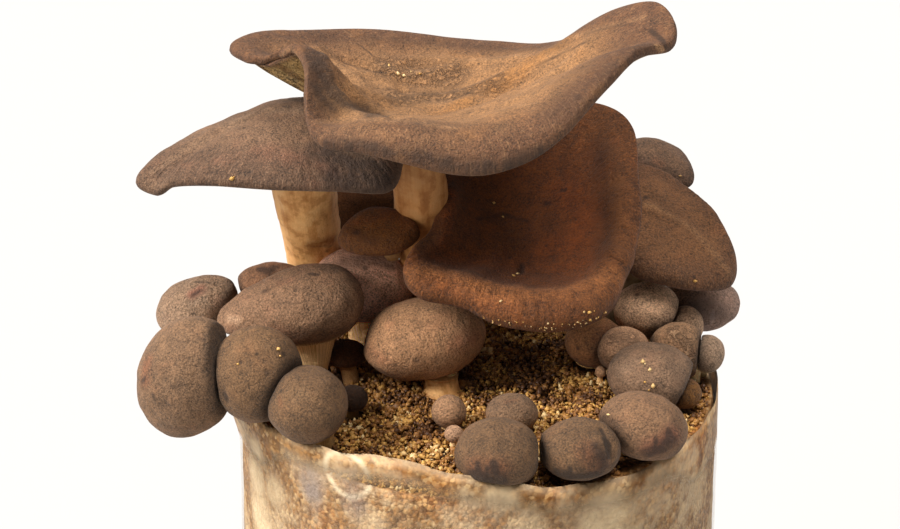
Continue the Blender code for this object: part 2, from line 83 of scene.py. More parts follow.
# The bag.
BAG_RADIUS = 55.0
BAG_HEIGHT = 150.0
FILM = 0.5
SEEN_FILM = 0.18  # the film drawn, thinner than its solid
BAG_MIDDLE = 80.0  # the height where the film bulges most
BAG_BULGE = 0.8
BASE_ROUND = 4.0
BASE_RING = 1.0  # the height of the first ring above the base
GAP = 0.3  # between one piece and the next
RIM = [  # height of the cut film edge at each 30 degrees, from +X towards +Y
    150.0, 149.6, 149.4, 149.6, 150.6, 151.6, 152.6, 153.7, 153.4, 152.6, 148.6, 149.0,
]
FLARE = (0.51, 0.075, 3.2, 16.0)  # where round the rim the film leans out, how wide, how far, how deep
RIGHT_SWELL = (0.8, 60, 120)  # how far the film swells out at the right, and the heights it grows between
CREASE_BEND = (3, 60)  # how fast the creases in the film change round it and, in millimetres, up it
FILM_CREASES = [(0.45, 0.5, 3, 11)]  # the film's creases, as height, size, octaves and seed of the lumps
CREASES_FROM = 30  # the height where the creases in the film are full
RIM_WAVE = (0.35, 23, 7)  # how high the cut edge waves, and how many times round by its two waves
RIM_BAND = (6.5, 4.0)  # how far below the edge the crumbs stuck to the film begin, and are full
RIM_SIDES = (7.0, 42.0, 50.0)  # how much deeper that band is at the sides, and how far out it grows
LIP_BAND = (0.8, 0.2)  # how far below the edge the pale lip begins, and is full
PEAK = (0.694, 0.045, 3.2)  # where round the rim the film stands up, how wide and how far
SUBSTRATE_EDGE = 148.0
SUBSTRATE_DOME = 2.5
SUBSTRATE_RADIUS = BAG_RADIUS - FILM - GAP
SUBSTRATE_CORNER = BASE_ROUND * 0.7
SUBSTRATE_RELIEF = [(0.9, 5.0, 2, 7), (0.5, 1.5, 2, 8)]  # height, size, octaves and seed of its lumps on top
SUBSTRATE_SINK = 0.9  # how far the lumps are sunk, so that none stands out
SIDE_RELIEF = [(0.15, 2.0, 2, 9)]  # the same at its side
SIDE_SINK = 0.15
SUBSTRATE_COLUMNS = 200  # of its mesh
SUBSTRATE_ROWS = (64, 60, 6)  # over the dome, down the side and in under the base
FILM_COLUMNS = 240
FILM_ROWS = (6, 56)  # over the base and up the wall, inside and again outside

# The grains.
STONE_RADIUS = 0.6
STONE_SPREAD = 0.30  # how much the sizes of the stones vary
STONE_STRETCH = (0.5, 1.5)
GRAIN_MARGIN = 0.6  # how far the loose grains stay from the film
GRAIN_LIFT = (-0.6, 0.5)  # how far the loose grains stand below and above the top of the substrate
HIDDEN = 0.6  # no grain is laid where its distance from a button's middle, in radii and squared, is less
# The lighter patch at the front is painted light, and the darker one under cap_middle painted shade.
GRAIN_LIGHT_AND_SHADE = [  # soft patches of painted light and shade: how much lighter, the middle and the reach
    (0.12, (-14, -40), (22, 16)), (-0.22, (12, 2), (26, 20)),
]
PATCH_SIZE = 8.0
GRAIN_TONE = (0.04, 0.84, 0.6)  # the least tone of a grain, what chance adds and how much its patch counts
CRUMB_TONE = (0.86, 1.0)
CRUMB_LIFT = 0.2  # how far a crumb's middle stands out of the skin, in sizes

# The mushrooms.
BALL_SWEEP = 0.88  # how much of a half turn from its pole a ball goes on, before its stub
BALL_ROWS = 6  # how many of a button's BUTTON_ROWS parts are its ball, where the rest is its stub
BUTTON_ROWS = 8
PRESS_SOFTNESS = 0.12  # how round the edge of a flat is, where two balls press on each other
OVER_RIM = 52.0  # how far out a button hangs over the rim
RIM_RAMP = (44.0, 48.5)  # how far out the lowest height of a button rises from the substrate to the rim
FREE_REACH = BAG_RADIUS + 3.0  # how far out a button may hang below the rim
STUB_CURVE = 0.6  # how soon a ball narrows to its stub
FLESH_FALL = 0.7  # how soon a cap grows thin on its way out
COLLAR = 0.4  # how far out the stem's flesh runs on below its cap
GILL_FADE = (0.12, 0.72)  # up to where the gills grow from the stem, and from where they fade to the edge
SHORT_GILL = (0.35, 0.55, 0.8)  # where the short gills begin and are full, and their depth beside a long one
GILL_VALLEY = -0.6
STEM_WAIST = 0.06  # how much a stem narrows halfway up
STEM_FLARE = (0.10, 0.86)  # how much a stem widens under its cap, and from where
FOOT_FLARE = (0.08, 0.12)  # how much a stem widens at its foot, and up to where
STEM_MESH = (72, 52)  # columns and rows
STEM_RIDGES = [(0.10, 0.30, 3, 0)]  # drawn out along the stem, by RIDGE_STRETCH
RIDGE_STRETCH = 0.35
STEM_RELIEF = [(0.45, 7.0, 3, 3)]
CAP_RELIEF = [(0.45, 9.0, 2, 0), (0.10, 2.2, 1, 1)]
BUTTON_RELIEF = [(0.30, 5.5, 2, 5), (0.08, 1.6, 1, 6)]
FRONT_RELIEF = [(0.30, 6.0, 2, 5), (0.08, 1.8, 1, 6)]
WRINKLE_STRETCH = 0.3

# Caps, as in the solids: pole, axis, dish, lip_from, stem_radius, thickness and folds give the form, and
# margin the edge, anticlockwise from above, as x, y, z and roll. gills is their number at the stem, wrinkles
# the depth, size and start of those by the edge, and rows the mesh rows above, round the edge and below.
SMALL_CAP = dict(wrinkles=(0.10, 0.12, 0.70), gill_depth=0.3)
CAPS = {
    "cap_top": dict(
        finish="tan",
        pole=(-13.8, 6.0, 216.0),
        axis=(0.0, 0.0, 1.0),
        dish=1.7,
        lip_from=0.72,
        stem_radius=6.3,
        thickness=(6.0, 2.2),
        gills=112,
        wrinkles=(0.12, 0.05, 0.70),
        gill_depth=1.3,
        rows=(58, 6, 26),
        folds=[  # each from one place to another, with its rise and its width
            ((-36.0, -2.0), (-20.0, -25.0), 2.2, 3.2), ((-31.0, -21.0), (-25.0, -26.0), -1.2, 5.0),
        ],
        margin=[
            (40.4, -12.5, 236.2, 6.0), (41.3, -6.5, 239.3, 4.8), (37.8, 3.0, 240.0, 3.8),
            (30.0, 11.5, 235.0, 3.2), (24.0, 20.5, 226.0, 3.0), (15.6, 30.0, 219.8, 3.0),
            (5.0, 34.0, 218.8, 3.0), (-6.0, 35.0, 219.3, 3.0), (-23.5, 34.0, 221.8, 3.0),
            (-40.5, 28.0, 223.6, 4.0), (-49.5, 20.5, 226.0, 4.5), (-54.6, 11.5, 226.6, 5.0),
            (-51.0, 5.0, 226.4, 5.0), (-46.8, 2.0, 227.2, 4.5), (-42.8, 0.0, 230.0, 2.5),
            (-39.4, -2.0, 232.0, 1.0), (-36.5, -9.0, 230.6, 1.5), (-36.4, -18.0, 227.0, 2.0),
            (-35.8, -26.0, 223.3, 3.5), (-32.7, -30.5, 221.2, 6.0), (-25.1, -34.0, 221.2, 8.5),
            (-16.7, -37.0, 220.2, 10.5), (-6.2, -38.0, 218.0, 12.0), (2.1, -38.0, 218.0, 12.0),
            (10.5, -36.0, 220.3, 11.5), (17.3, -33.0, 224.5, 10.0), (22.4, -29.5, 229.2, 8.5),
            (27.0, -25.0, 232.8, 7.0), (33.0, -19.0, 236.8, 5.5),
        ],
    ),
    "cap_left": dict(
        finish="taupe",
        pole=(-40.3, 9.0, 214.2),
        axis=(0.0, 0.0, 1.0),
        dish=1.75,
        lip_from=0.86,
        stem_radius=7.8,
        thickness=(8.0, 2.4),
        gills=84,
        wrinkles=(0.20, 0.038, 0.66),
        gill_depth=1.2,
        rows=(46, 6, 20),
        margin=[
            (-75.0, -5.5, 201.8, 2.0), (-70.6, -9.0, 200.6, 2.5), (-66.3, -10.5, 203.4, 2.0),
            (-57.7, -13.5, 205.0, 2.0), (-45.1, -15.5, 205.0, 2.0), (-31.8, -15.5, 204.6, 2.0),
            (-20.4, -12.5, 203.0, 2.0), (-17.8, -2.0, 203.4, 2.0), (-18.8, 12.0, 203.4, 2.0),
            (-27.0, 26.0, 202.0, 2.0), (-38.0, 32.5, 200.0, 2.0), (-51.0, 30.5, 199.0, 2.0),
            (-62.0, 20.0, 199.0, 2.0), (-71.5, 6.0, 200.8, 2.0),
        ],
    ),
    "cap_middle": dict(
        finish="rust",
        pole=(9.0, 9.5, 183.0),
        axis=(0.0, -0.47, 0.88),
        dish=1.9,
        lip_from=0.76,
        stem_radius=6.5,
        thickness=(6.5, 3.0),
        gills=84,
        wrinkles=(0.30, 0.045, 0.74),
        gill_depth=1.1,
        rows=(52, 6, 20),
        margin=[
            (35.6, 12.0, 193.6, 4.0), (35.3, 24.0, 201.0, 3.5), (28.8, 32.0, 203.6, 3.0),
            (14.9, 36.0, 202.5, 3.0), (-2.5, 33.0, 199.0, 3.0), (-8.8, 24.5, 194.6, 3.5),
            (-7.4, 13.0, 190.0, 4.0), (-9.6, 2.0, 186.2, 4.0), (-13.8, -4.5, 184.8, 4.0),
            (-15.2, -9.5, 180.8, 5.0), (-11.5, -13.5, 177.6, 5.0), (-2.7, -15.0, 176.3, 6.0),
            (3.7, -18.0, 173.8, 7.0), (11.5, -20.0, 173.0, 7.5), (18.1, -20.0, 172.8, 7.5),
            (24.6, -18.0, 173.8, 7.0), (29.2, -13.0, 175.0, 6.5), (31.8, -6.0, 179.2, 5.5),
            (34.6, 0.0, 184.4, 5.0), (36.0, 6.0, 189.1, 4.5),
        ],
    ),
    "cap_right": dict(
        finish="brown",
        pole=(44.0, 22.0, 182.0),
        axis=(0.24, -0.40, 0.88),
        dish=2.2,
        lip_from=0.84,
        stem_radius=5.0,
        thickness=(7.0, 2.4),
        gills=60,
        wrinkles=(0.12, 0.09, 0.70),
        gill_depth=0.9,
        rows=(40, 6, 16),
        margin=[
            (59.7, 18.0, 172.3, 2.0), (56.0, 24.5, 178.6, 2.0), (52.5, 30.0, 180.6, 2.0),
            (48.3, 34.0, 182.4, 2.0), (42.9, 37.0, 185.0, 2.0), (36.4, 37.0, 185.6, 2.0),
            (33.0, 29.0, 181.0, 2.0), (32.0, 19.0, 175.4, 2.0), (35.9, 10.5, 172.4, 2.0),
            (41.5, 8.0, 171.0, 2.0), (51.1, 8.5, 168.9, 2.0), (58.6, 12.5, 168.0, 2.0),
        ],
    ),
    "cap_rear": dict(
        finish="brown",
        pole=(43.5, 43.0, 190.0),
        axis=(0.22, -0.20, 0.95),
        dish=2.0,
        lip_from=0.8,
        stem_radius=3.0,
        thickness=(5.0, 2.0),
        gills=40,
        **SMALL_CAP,
        rows=(22, 6, 10),
        margin=[
            (51.4, 40.0, 184.0, 1.0), (48.6, 47.0, 186.3, 1.0), (42.0, 50.0, 186.9, 1.0),
            (36.5, 46.0, 188.6, 1.0), (36.8, 40.5, 186.9, 1.0), (43.7, 37.5, 184.0, 1.0),
            (50.0, 37.0, 182.4, 1.0),
        ],
    ),
    "cap_shaded": dict(
        finish="dull",
        pole=(-26.5, 35.0, 180.0),
        axis=(0.0, -0.2, 0.98),
        dish=2.2,
        lip_from=0.8,
        stem_radius=2.8,
        thickness=(4.0, 2.0),
        gills=32,
        **SMALL_CAP,
        rows=(20, 5, 8),
        margin=[
            (-17.2, 35.0, 178.6, 1.0), (-25.5, 42.0, 179.6, 1.0), (-36.8, 36.0, 178.5, 1.0),
            (-33.0, 28.5, 175.0, 1.0), (-22.0, 29.0, 175.0, 1.0),
        ],
    ),
    "cap_oval": dict(
        finish="brown",
        pole=(-22.4, 4.0, 188.6),
        axis=(0.0, -0.2, 0.98),
        dish=2.4,
        lip_from=0.78,
        stem_radius=2.6,
        thickness=(5.0, 2.2),
        gills=40,
        **SMALL_CAP,
        rows=(22, 6, 10),
        margin=[
            (-13.9, 3.0, 184.8, 2.0), (-18.5, 8.2, 186.2, 2.0), (-24.0, 9.8, 185.8, 2.0),
            (-29.5, 6.0, 184.4, 2.0), (-30.7, 1.5, 183.0, 2.0), (-26.0, -2.0, 182.6, 2.0),
            (-18.5, -1.5, 182.8, 2.0),
        ],
    ),
}
EDGE_REACH = 0.4  # how far an edge stands out past its margin, in thicknesses
LIP_ROUND = 0.75  # how much of a lip's fall is that of a quarter circle, and not of a parabola
GILL_COLUMNS = 6  # mesh columns to a gill at the stem, where a shorter gill starts halfway between two

# Stems: the cap each carries, its foot and the radius there. A foot with no height is on the substrate.
STEMS = {
    "stem_top": ("cap_top", (-10.6, 19.5), 7.1),
    "stem_left": ("cap_left", (-36.8, 28.6), 7.2),
    "stem_middle": ("cap_middle", (8.0, 32.0), 6.5),
    "stem_right": ("cap_right", (34.0, 26.0), 4.5),
    "stem_rear": ("cap_rear", (31.0, 38.0), 3.2),
    "stem_shaded": ("cap_shaded", (-24.0, 37.0), 4.5),
    "stem_oval": ("cap_oval", (-19.2, 9.4, 176.5), 1.8),
}

# Buttons: centre of the ball, its radii, foot on the substrate, stub radius, lean, narrowing and finish.
BUTTONS = {
    "button_left_outer": ((-63.9, -27, 163.5), (11.2, 11, 14.3), (-46, -3), 3.6, 20, 0, "grey"),
    "button_left_low": ((-48.6, -30, 165.7), (10.4, 10, 10.9), (-44, -15), 3.6, 8, 0, "grey"),
    "button_left_round": ((-37.3, -37, 161.9), (8.9, 8.7, 8.5), (-35, -31), 3, 0, 0, "grey"),
    "button_left_upper": ((-64.8, 10, 163), (10.4, 8, 6.6), (-45, 9), 3, -24, -0.1, "taupe"),
    "button_left_rear": ((-47.4, 13, 167.3), (8.6, 5.8, 4.8), (-45.5, 17), 2.6, 0, 0, "brown"),
    "button_left_long": ((-42.6, -2, 168.2), (17.4, 10, 8.6), (-37.0, -4), 1.6, -12, 0.3, "taupe"),
    "button_purple": ((-26.4, 12.5, 167.3), (11.8, 8.8, 9.0), (-25, 14), 4.5, 8, 0, "purple"),
    "button_dark_ball": ((-28.2, -19, 153.9), (3.6, 3.5, 3), (-28.2, -19), 1.6, 0, 0, "brown"),
    "button_under_long": ((-30.6, 0, 155.6), (5.1, 5, 2.8), (-29, -3), 2, 0, 0, "brown"),
    "button_front_pin": ((-6.5, -25, 153.7), (3.9, 3.9, 3.8), (-6.5, -25), 1.8, 0, 0, "pinkish"),
    "button_front_speck": ((-5.4, -33, 152.4), (2.1, 2.2, 1.9), (-5.4, -33), 1, 0, 0, "pinkish"),
    "button_front_small": ((7.5, -27.5, 154.6), (5.8, 5.5, 4.3), (7.5, -27.5), 2.4, 0, 0, "grey"),
    "button_front_left": ((4, -48.2, 155.6), (9.3, 8.5, 8.0), (4, -43), 3.4, 0, 0, "grey"),
    "button_front_middle": ((21.7, -45, 155.2), (9.1, 8, 6.6), (20, -41), 3.4, 0, 0, "grey"),
    "button_front_right": ((36.2, -36, 156), (10, 9, 7), (32, -32), 3.6, 14, 0, "taupe"),
    "button_right_low": ((39.6, -13.0, 156.2), (10.4, 9, 7.6), (38, -11), 4, 6, 0, "grey"),
    "button_right_lobe": ((47.0, -14.2, 152.6), (3.8, 3.8, 3.6), (45.0, -13), 1.6, 0, 0, "grey"),
    "button_right_dark": ((27.4, 6, 155.6), (7.0, 6.6, 5.9), (26.6, 7), 3.4, 0, 0, "brown"),
    "button_right_inner": ((33.7, -0.6, 156.6), (6.2, 6, 5.5), (32.5, 1.5), 2.6, 0, 0, "taupe"),
    "button_right_top": ((39.9, 13, 160.4), (7.8, 7, 6.8), (38.5, 13), 3, 0, 0, "taupe"),
    "button_right_outer": ((46.7, 1.6, 155.6), (7.2, 6.5, 6.6), (43, 3), 3, 0, 0, "grey"),
    "button_right_small": ((48.6, 12.6, 156.4), (4.7, 4.2, 5.0), (46, 12), 2.4, 0, 0, "taupe"),
    "button_right_grey": ((53.0, 24.0, 156.7), (9.9, 7.4, 6.5), (42.5, 20.5), 2.6, 0, 0, "purple"),
    "button_right_edge": ((53.0, 0.5, 155.3), (4.2, 4, 4.6), (50.5, 0.0), 1.3, 0, 0, "grey"),
    "button_right_pin": ((28.4, -4.0, 152.9), (1.3, 1.4, 1.4), (28.2, -3.5), 0.9, 0, 0, "pinkish"),
}
FRONT_CAP = ((-12.1, -4.4, 161.7), (14.3, 11.0, 9.3))  # centre and radii
FRONT_STEM = ((-8.0, -8.5), (-8.6, -6.0), 4.4, 4.0)  # its foot, its top and the radius at each
FRONT_FLAT = 0.86  # how far below its centre the front cap is flat, in radii
FRONT_LEAN = -10.0
FRONT_MESH = (132, 76)
BUTTON_MESH = (104, 60)  # columns and rows of a large button, of which a smaller one has a share
LARGE_BUTTON = 9.0
SMALLEST_SHARE = 0.42
CREASE_SHADE_REACH = 1.5  # how far the painted shade between two buttons, and above the substrate, reaches

# The ways that a piece's colour leans, and each piece's level, how light it is, and its leaning. Both hold
# painted light and shade as well as the piece's own tone: pieces deep in shade, such as button_purple,
# button_right_top, button_right_inner and button_right_small, are painted lighter, stem_right,
# button_dark_ball and cap_shaded are painted darker, and the ruddy and red leanings stand partly for
# the warm light in shade.
LEANINGS = {
    "cool": (1.0, 1.13, 1.2),
    "even": (1.0, 1.0, 0.95),
    "warm": (1.0, 0.95, 0.8),
    "earthy": (1.0, 0.9, 0.64),
    "ruddy": (1.0, 0.79, 0.55),
    "amber": (1.0, 0.68, 0.42),
    "red": (1.0, 0.7, 0.18),
}
TONES_AND_PAINTED_LIGHT = {
    "cap_top": (0.6, "earthy"),
    "cap_left": (0.87, "even"),
    "cap_right": (0.98, "earthy"),
    "cap_rear": (0.85, "cool"),
    "cap_shaded": (0.4, "ruddy"),
    "cap_oval": (1.2, "red"),
    "cap_front": (1.9, "warm"),
    "stem_top": (0.63, "amber"),
    "stem_left": (0.9, "ruddy"),
    "stem_right": (0.2, "warm"),
    "stem_rear": (0.65, "ruddy"),
    "stem_shaded": (0.55, "ruddy"),
    "stem_oval": (0.55, "ruddy"),
    "stem_front": (1.0, "ruddy"),
    "button_left_outer": (1.0, "warm"),
    "button_left_low": (0.85, "earthy"),
    "button_left_round": (0.75, "earthy"),
    "button_left_upper": (1.5, "cool"),
    "button_left_rear": (1.3, "even"),
    "button_left_long": (1.3, "even"),
    "button_purple": (3.8, "even"),
    "button_dark_ball": (0.25, "red"),
    "button_under_long": (0.6, "ruddy"),
    "button_front_pin": (1.2, "warm"),
    "button_front_speck": (1.6, "even"),
    "button_front_small": (0.9, "warm"),
    "button_front_left": (0.68, "earthy"),
    "button_front_middle": (0.7, "earthy"),
    "button_front_right": (0.95, "warm"),
    "button_right_low": (1.1, "even"),
    "button_right_lobe": (1.05, "red"),
    "button_right_dark": (1.75, "earthy"),
    "button_right_inner": (2.3, "even"),
    "button_right_top": (3.2, "cool"),
    "button_right_outer": (2.0, "warm"),
    "button_right_small": (2.6, "cool"),
    "button_right_grey": (1.35, "cool"),
    "button_right_edge": (1.9, "cool"),
    "button_right_pin": (2.1, "warm"),
}

# Scars, stains and creases, by the pixels that they pass in the photograph, with painted shade, light and
# highlights among them where noted. dark, ruddy and pale are stains, except where noted as painted, and
# rough is cracked skin, with a width in millimetres and a strength. rise is a ridge, or a groove where its
# height in millimetres is below 0.
MARKS = {
    "cap_top": [
        # The dark bands down the fold's left face are painted shade, where the fold shades itself.
        ("dark", [(316, 56), (322, 72), (330, 86), (344, 100), (360, 109), (378, 115)], 3.4, 0.90),
        ("dark", [(320, 88), (328, 104)], 4.0, 0.72),
        ("dark", [(312, 70), (316, 95), (322, 108)], 2.0, 0.45),
        ("pale", [(335, 64), (352, 85), (375, 107), (396, 117)], 1.4, 0.45),
        ("rough", [(390, 68), (420, 75), (452, 72)], 5.0, 0.9),
        ("rough", [(398, 97), (432, 96), (468, 92), (492, 84)], 4.6, 0.9),
        ("rise", [(404, 80), (430, 84), (456, 80)], 2.2, -1.2),
        ("rise", [(398, 104), (425, 109), (455, 107), (490, 97), (520, 81)], 2.0, -1.2),
        ("rise", [(420, 98), (455, 96), (490, 84), (530, 60)], 1.4, 0.8),
        ("rise", [(520, 88), (545, 72), (570, 54)], 1.4, -0.8),
        ("rise", [(340, 84), (352, 98), (372, 111), (396, 117)], 1.6, -0.8),
        ("rise", [(400, 62), (430, 60), (470, 64), (510, 60)], 1.6, 0.7),
        ("pale", [(352, 78), (372, 92), (400, 100), (440, 102), (480, 96)], 3.0, 0.40),
        ("pale", [(330, 130), (370, 134), (420, 140)], 4.0, 0.30),
        # Painted shade on the lower right, where the wing curls under.
        ("dark", [(555, 112), (580, 92), (612, 66), (640, 46)], 6.0, 0.42),
        ("dark", [(330, 145), (375, 149), (420, 156), (460, 167), (500, 168), (540, 154)], 2.6, 0.62),
        ("rise", [(352, 76), (368, 92), (392, 105), (420, 111)], 2.5, 0.8),
        ("rise", [(318, 50), (332, 67), (345, 80), (358, 95), (375, 108), (390, 115)], 1.6, 0.7),
        # A painted highlight along the crest of the front lip.
        ("pale", [(320, 123), (342, 120), (375, 120), (408, 121), (455, 128)], 1.5, 0.42),
        ("dark", [(345, 60), (368, 67), (385, 73), (402, 77)], 0.5, 0.55),
        ("rise", [(345, 60), (368, 67), (385, 73), (402, 77)], 1.3, -0.9),
        ("pale", [(385, 68), (402, 75), (425, 73)], 1.1, 0.75),
        ("rise", [(385, 70), (402, 77), (425, 75), (452, 70)], 1.8, 1.0),
        ("dark", [(358, 44), (370, 53), (380, 63)], 0.4, 0.62),
        ("dark", [(368, 44), (374, 51)], 0.35, 0.45),
        ("dark", [(412, 87), (442, 87), (455, 81)], 2.0, 0.42),
        ("rise", [(405, 89), (442, 88), (470, 82), (513, 64)], 1.8, -1.1),
        ("dark", [(382, 100), (402, 107), (425, 105)], 0.6, 0.5),
        ("dark", [(440, 93), (460, 87), (477, 80), (495, 72), (513, 63)], 0.7, 0.55),
        ("pale", [(436, 62), (462, 62), (492, 61), (530, 54)], 1.8, 0.42),
        ("ruddy", [(440, 112), (470, 100), (500, 85), (525, 70), (545, 54), (562, 43)], 3.6, 0.85),
        ("rise", [(457, 104), (490, 91), (520, 74), (545, 56)], 2.6, 1.0),
        ("dark", [(469, 96)], 0.7, 0.9),
        ("dark", [(483, 54)], 0.5, 0.8),
        ("dark", [(540, 66), (565, 52), (590, 42)], 0.8, 0.5),
        ("pale", [(512, 101), (533, 88), (548, 75), (567, 58)], 1.3, 0.5),
        ("rise", [(512, 101), (533, 88), (548, 75), (567, 58), (590, 44)], 2.4, 0.5),
        ("pale", [(518, 106), (537, 103)], 1.6, 0.4),
        ("pale", [(573, 37), (598, 29), (623, 22), (645, 17)], 1.2, 0.4),
        ("dark", [(586, 34), (610, 27), (632, 24)], 0.8, 0.5),
        # Painted shade on the lower right, where the wing curls under.
        ("dark", [(560, 80), (590, 62), (620, 47)], 5.0, 0.32),
        ("dark", [(322, 38), (380, 38), (440, 43), (510, 50), (560, 46)], 3.2, 0.40),
        ("dark", [(388, 90), (420, 93), (455, 86)], 3.0, 0.30),
        ("dark", [(420, 60), (440, 52)], 2.6, 0.28),
        ("pale", [(360, 76), (385, 92), (420, 104), (450, 104)], 3.4, 0.22),
        ("dark", [(650, 30), (662, 40), (666, 47)], 0.7, 0.9),
        ("pale", [(657, 46), (663, 51)], 0.9, 0.8),
    ],
    "cap_left": [
        ("ruddy", [(262, 152), (280, 154), (298, 159)], 4.0, 0.50),
        # Painted shadow of cap_top on the right of this cap.
        ("dark", [(320, 150), (348, 160), (382, 172)], 4.0, 0.75),
        ("dark", [(340, 176), (362, 178), (384, 180)], 5.0, 0.75),
        ("ruddy", [(320, 165), (335, 172)], 2.4, 0.5),
        # A painted highlight along the top of the cap.
        ("pale", [(228, 125), (256, 112), (299, 109)], 2.6, 0.50),
        ("pale", [(153, 172), (182, 152), (208, 138)], 1.6, 0.35),
        ("pale", [(150, 185), (165, 184)], 3.0, 0.35),
    ],
    "cap_middle": [
        # Painted light on the left and painted shade on the right of the cap.
        ("ruddy", [(440, 215), (455, 245)], 8.0, 0.35),
        ("dark", [(600, 150), (610, 200), (606, 250)], 6.0, 0.42),
        ("ruddy", [(564, 188), (584, 215), (575, 240), (548, 248)], 5.5, 0.72),
        ("ruddy", [(450, 195), (448, 227), (443, 241)], 2.2, 0.8),
        ("ruddy", [(590, 150), (606, 175)], 4.0, 0.4),
        ("dark", [(478, 218), (503, 213), (528, 220)], 0.8, 0.6),
        (
            "ruddy", [(414, 262), (432, 254), (455, 255), (480, 257), (523, 262), (560, 266), (586, 256)],
            3.4, 0.5,
        ),
        (
            "rise", [(430, 256), (455, 257), (480, 259), (523, 264), (560, 268), (584, 262), (602, 236)],
            4.6, -1.1,
        ),
        (
            "rise", [
                (422, 272), (450, 277), (480, 288), (510, 296), (545, 300), (580, 298), (604, 286),
                (618, 262),
            ],
            5.0, 1.3,
        ),
        ("rise", [(619, 250), (622, 220), (618, 185), (611, 160)], 4.2, 0.9),
        ("pale", [(424, 275), (450, 279), (480, 290), (510, 298)], 4.4, 0.62),
        ("pale", [(510, 293), (545, 296), (580, 292), (606, 278)], 4.4, 0.62),
        ("pale", [(618, 250), (622, 220), (618, 185)], 3.4, 0.42),
        ("ruddy", [(424, 280), (450, 287), (480, 298), (510, 306)], 3.0, 0.70),
        ("rise", [(452, 190), (449, 215), (442, 238)], 1.6, 0.9),
        ("rise", [(500, 222), (524, 224)], 7.0, -0.7),
        ("dark", [(545, 203), (549, 203)], 0.7, 1.0),
        ("dark", [(561, 190), (566, 190)], 0.5, 1.0),
        ("dark", [(561, 197)], 0.5, 0.9),
        ("dark", [(523, 260), (522, 267)], 0.8, 1.0),
        ("rise", [(523, 260), (522, 267)], 0.9, -0.5),
        ("dark", [(547, 173)], 0.6, 0.8),
        ("dark", [(546, 245)], 0.5, 0.8),
        ("dark", [(558, 270)], 0.5, 0.8),
    ],
    "cap_right": [
        ("pale", [(646, 206), (666, 214), (691, 230), (710, 250), (727, 273)], 1.5, 0.38),
        ("rise", [(646, 206), (666, 214), (691, 230), (710, 250), (727, 273)], 2.2, 0.6),
        ("dark", [(646, 198)], 0.8, 1.0),
        ("dark", [(694, 277)], 0.5, 0.9),
    ],
    "cap_rear": [
        ("ruddy", [(655, 160), (662, 164)], 1.4, 0.8),
    ],
    "cap_oval": [
        ("dark", [(355, 232), (372, 240)], 2.2, 0.5),
        ("ruddy", [(352, 224), (380, 216), (404, 222)], 1.6, 0.6),
    ],
    "cap_front": [
        # A painted highlight on the top.
        ("pale", [(398, 308), (432, 306)], 4.0, 0.30),
        ("ruddy", [(458, 345), (474, 336)], 3.6, 0.55),
        ("ruddy", [(370, 352), (385, 360)], 2.8, 0.45),
        ("dark", [(438, 322), (470, 335)], 4.0, 0.30),
        ("dark", [(416, 360)], 0.8, 1.0),
        ("dark", [(396, 365)], 0.6, 0.8),
        ("dark", [(440, 340)], 0.5, 0.8),
    ],
    "stem_left": [
        ("dark", [(312, 248), (330, 246)], 0.8, 0.5),
        ("dark", [(322, 256), (333, 246)], 0.6, 0.5),
        ("dark", [(298, 256)], 0.6, 1.0),
        ("ruddy", [(310, 246), (334, 240)], 2.0, 0.6),
    ],
    "button_left_upper": [
        ("ruddy", [(192, 295), (201, 289)], 1.7, 1.0),
        ("dark", [(193, 296), (199, 291)], 0.7, 0.8),
        ("dark", [(194, 282), (206, 282), (217, 285)], 0.6, 0.6),
        ("pale", [(188, 302), (203, 300)], 1.6, 0.35),
    ],
    "button_left_rear": [
        ("dark", [(261, 269), (268, 272), (274, 267)], 1.3, 0.85),
        ("pale", [(280, 269), (290, 270)], 1.5, 0.45),
    ],
    "button_left_long": [
        ("pale", [(229, 319), (238, 320)], 1.3, 0.7),
        ("dark", [(310, 274), (318, 275)], 0.6, 0.8),
        ("dark", [(258, 328)], 0.5, 0.8),
        ("dark", [(262, 292), (268, 290)], 0.9, 0.6),
        ("ruddy", [(276, 333), (297, 339)], 3.2, 0.5),
        ("ruddy", [(280, 283), (292, 280)], 1.8, 0.5),
    ],
    "button_left_outer": [
        ("ruddy", [(147, 362), (145, 380)], 2.4, 0.9),
        ("dark", [(142, 382), (145, 378)], 0.8, 0.8),
        ("dark", [(210, 322), (220, 325)], 0.7, 0.5),
        ("dark", [(217, 333), (225, 343)], 1.2, 0.5),
        ("dark", [(198, 338), (205, 340)], 0.6, 0.7),
        ("dark", [(172, 387), (178, 388), (183, 384)], 0.6, 0.7),
        ("dark", [(153, 396), (155, 399)], 0.7, 0.8),
    ],
    "button_left_low": [
        ("dark", [(283, 354)], 0.7, 0.9),
        ("dark", [(267, 372)], 0.8, 1.0),
        ("dark", [(257, 354)], 0.5, 0.8),
        ("dark", [(241, 362)], 0.5, 0.8),
        ("dark", [(223, 394), (226, 401)], 0.9, 0.9),
        ("rise", [(222, 390), (226, 401)], 1.2, -0.5),
        ("dark", [(282, 348), (291, 362)], 2.4, 0.35),
    ],
    "button_left_round": [
        # A painted highlight.
        ("pale", [(297, 396), (303, 394)], 2.6, 0.32),
        ("dark", [(281, 391)], 0.6, 0.8),
        ("ruddy", [(279, 398), (281, 406)], 0.9, 0.6),
    ],
    "button_purple": [
        ("pale", [(343, 276), (362, 292)], 3.0, 0.40),
        ("dark", [(365, 268)], 0.7, 1.0),
        # Painted shade on the top and painted light low down.
        ("dark", [(345, 260), (385, 259)], 3.0, 0.55),
        ("pale", [(366, 304), (382, 310)], 4.0, 0.55),
        ("dark", [(376, 262), (390, 266)], 1.8, 0.7),
        ("dark", [(398, 266), (406, 276)], 1.4, 0.5),
    ],
    "button_front_small": [
        ("ruddy", [(506, 402), (516, 400)], 0.9, 0.6),
        ("dark", [(508, 404), (513, 402)], 0.5, 0.6),
    ],
    "button_front_left": [
        ("dark", [(478, 464), (479, 478)], 0.8, 1.2),
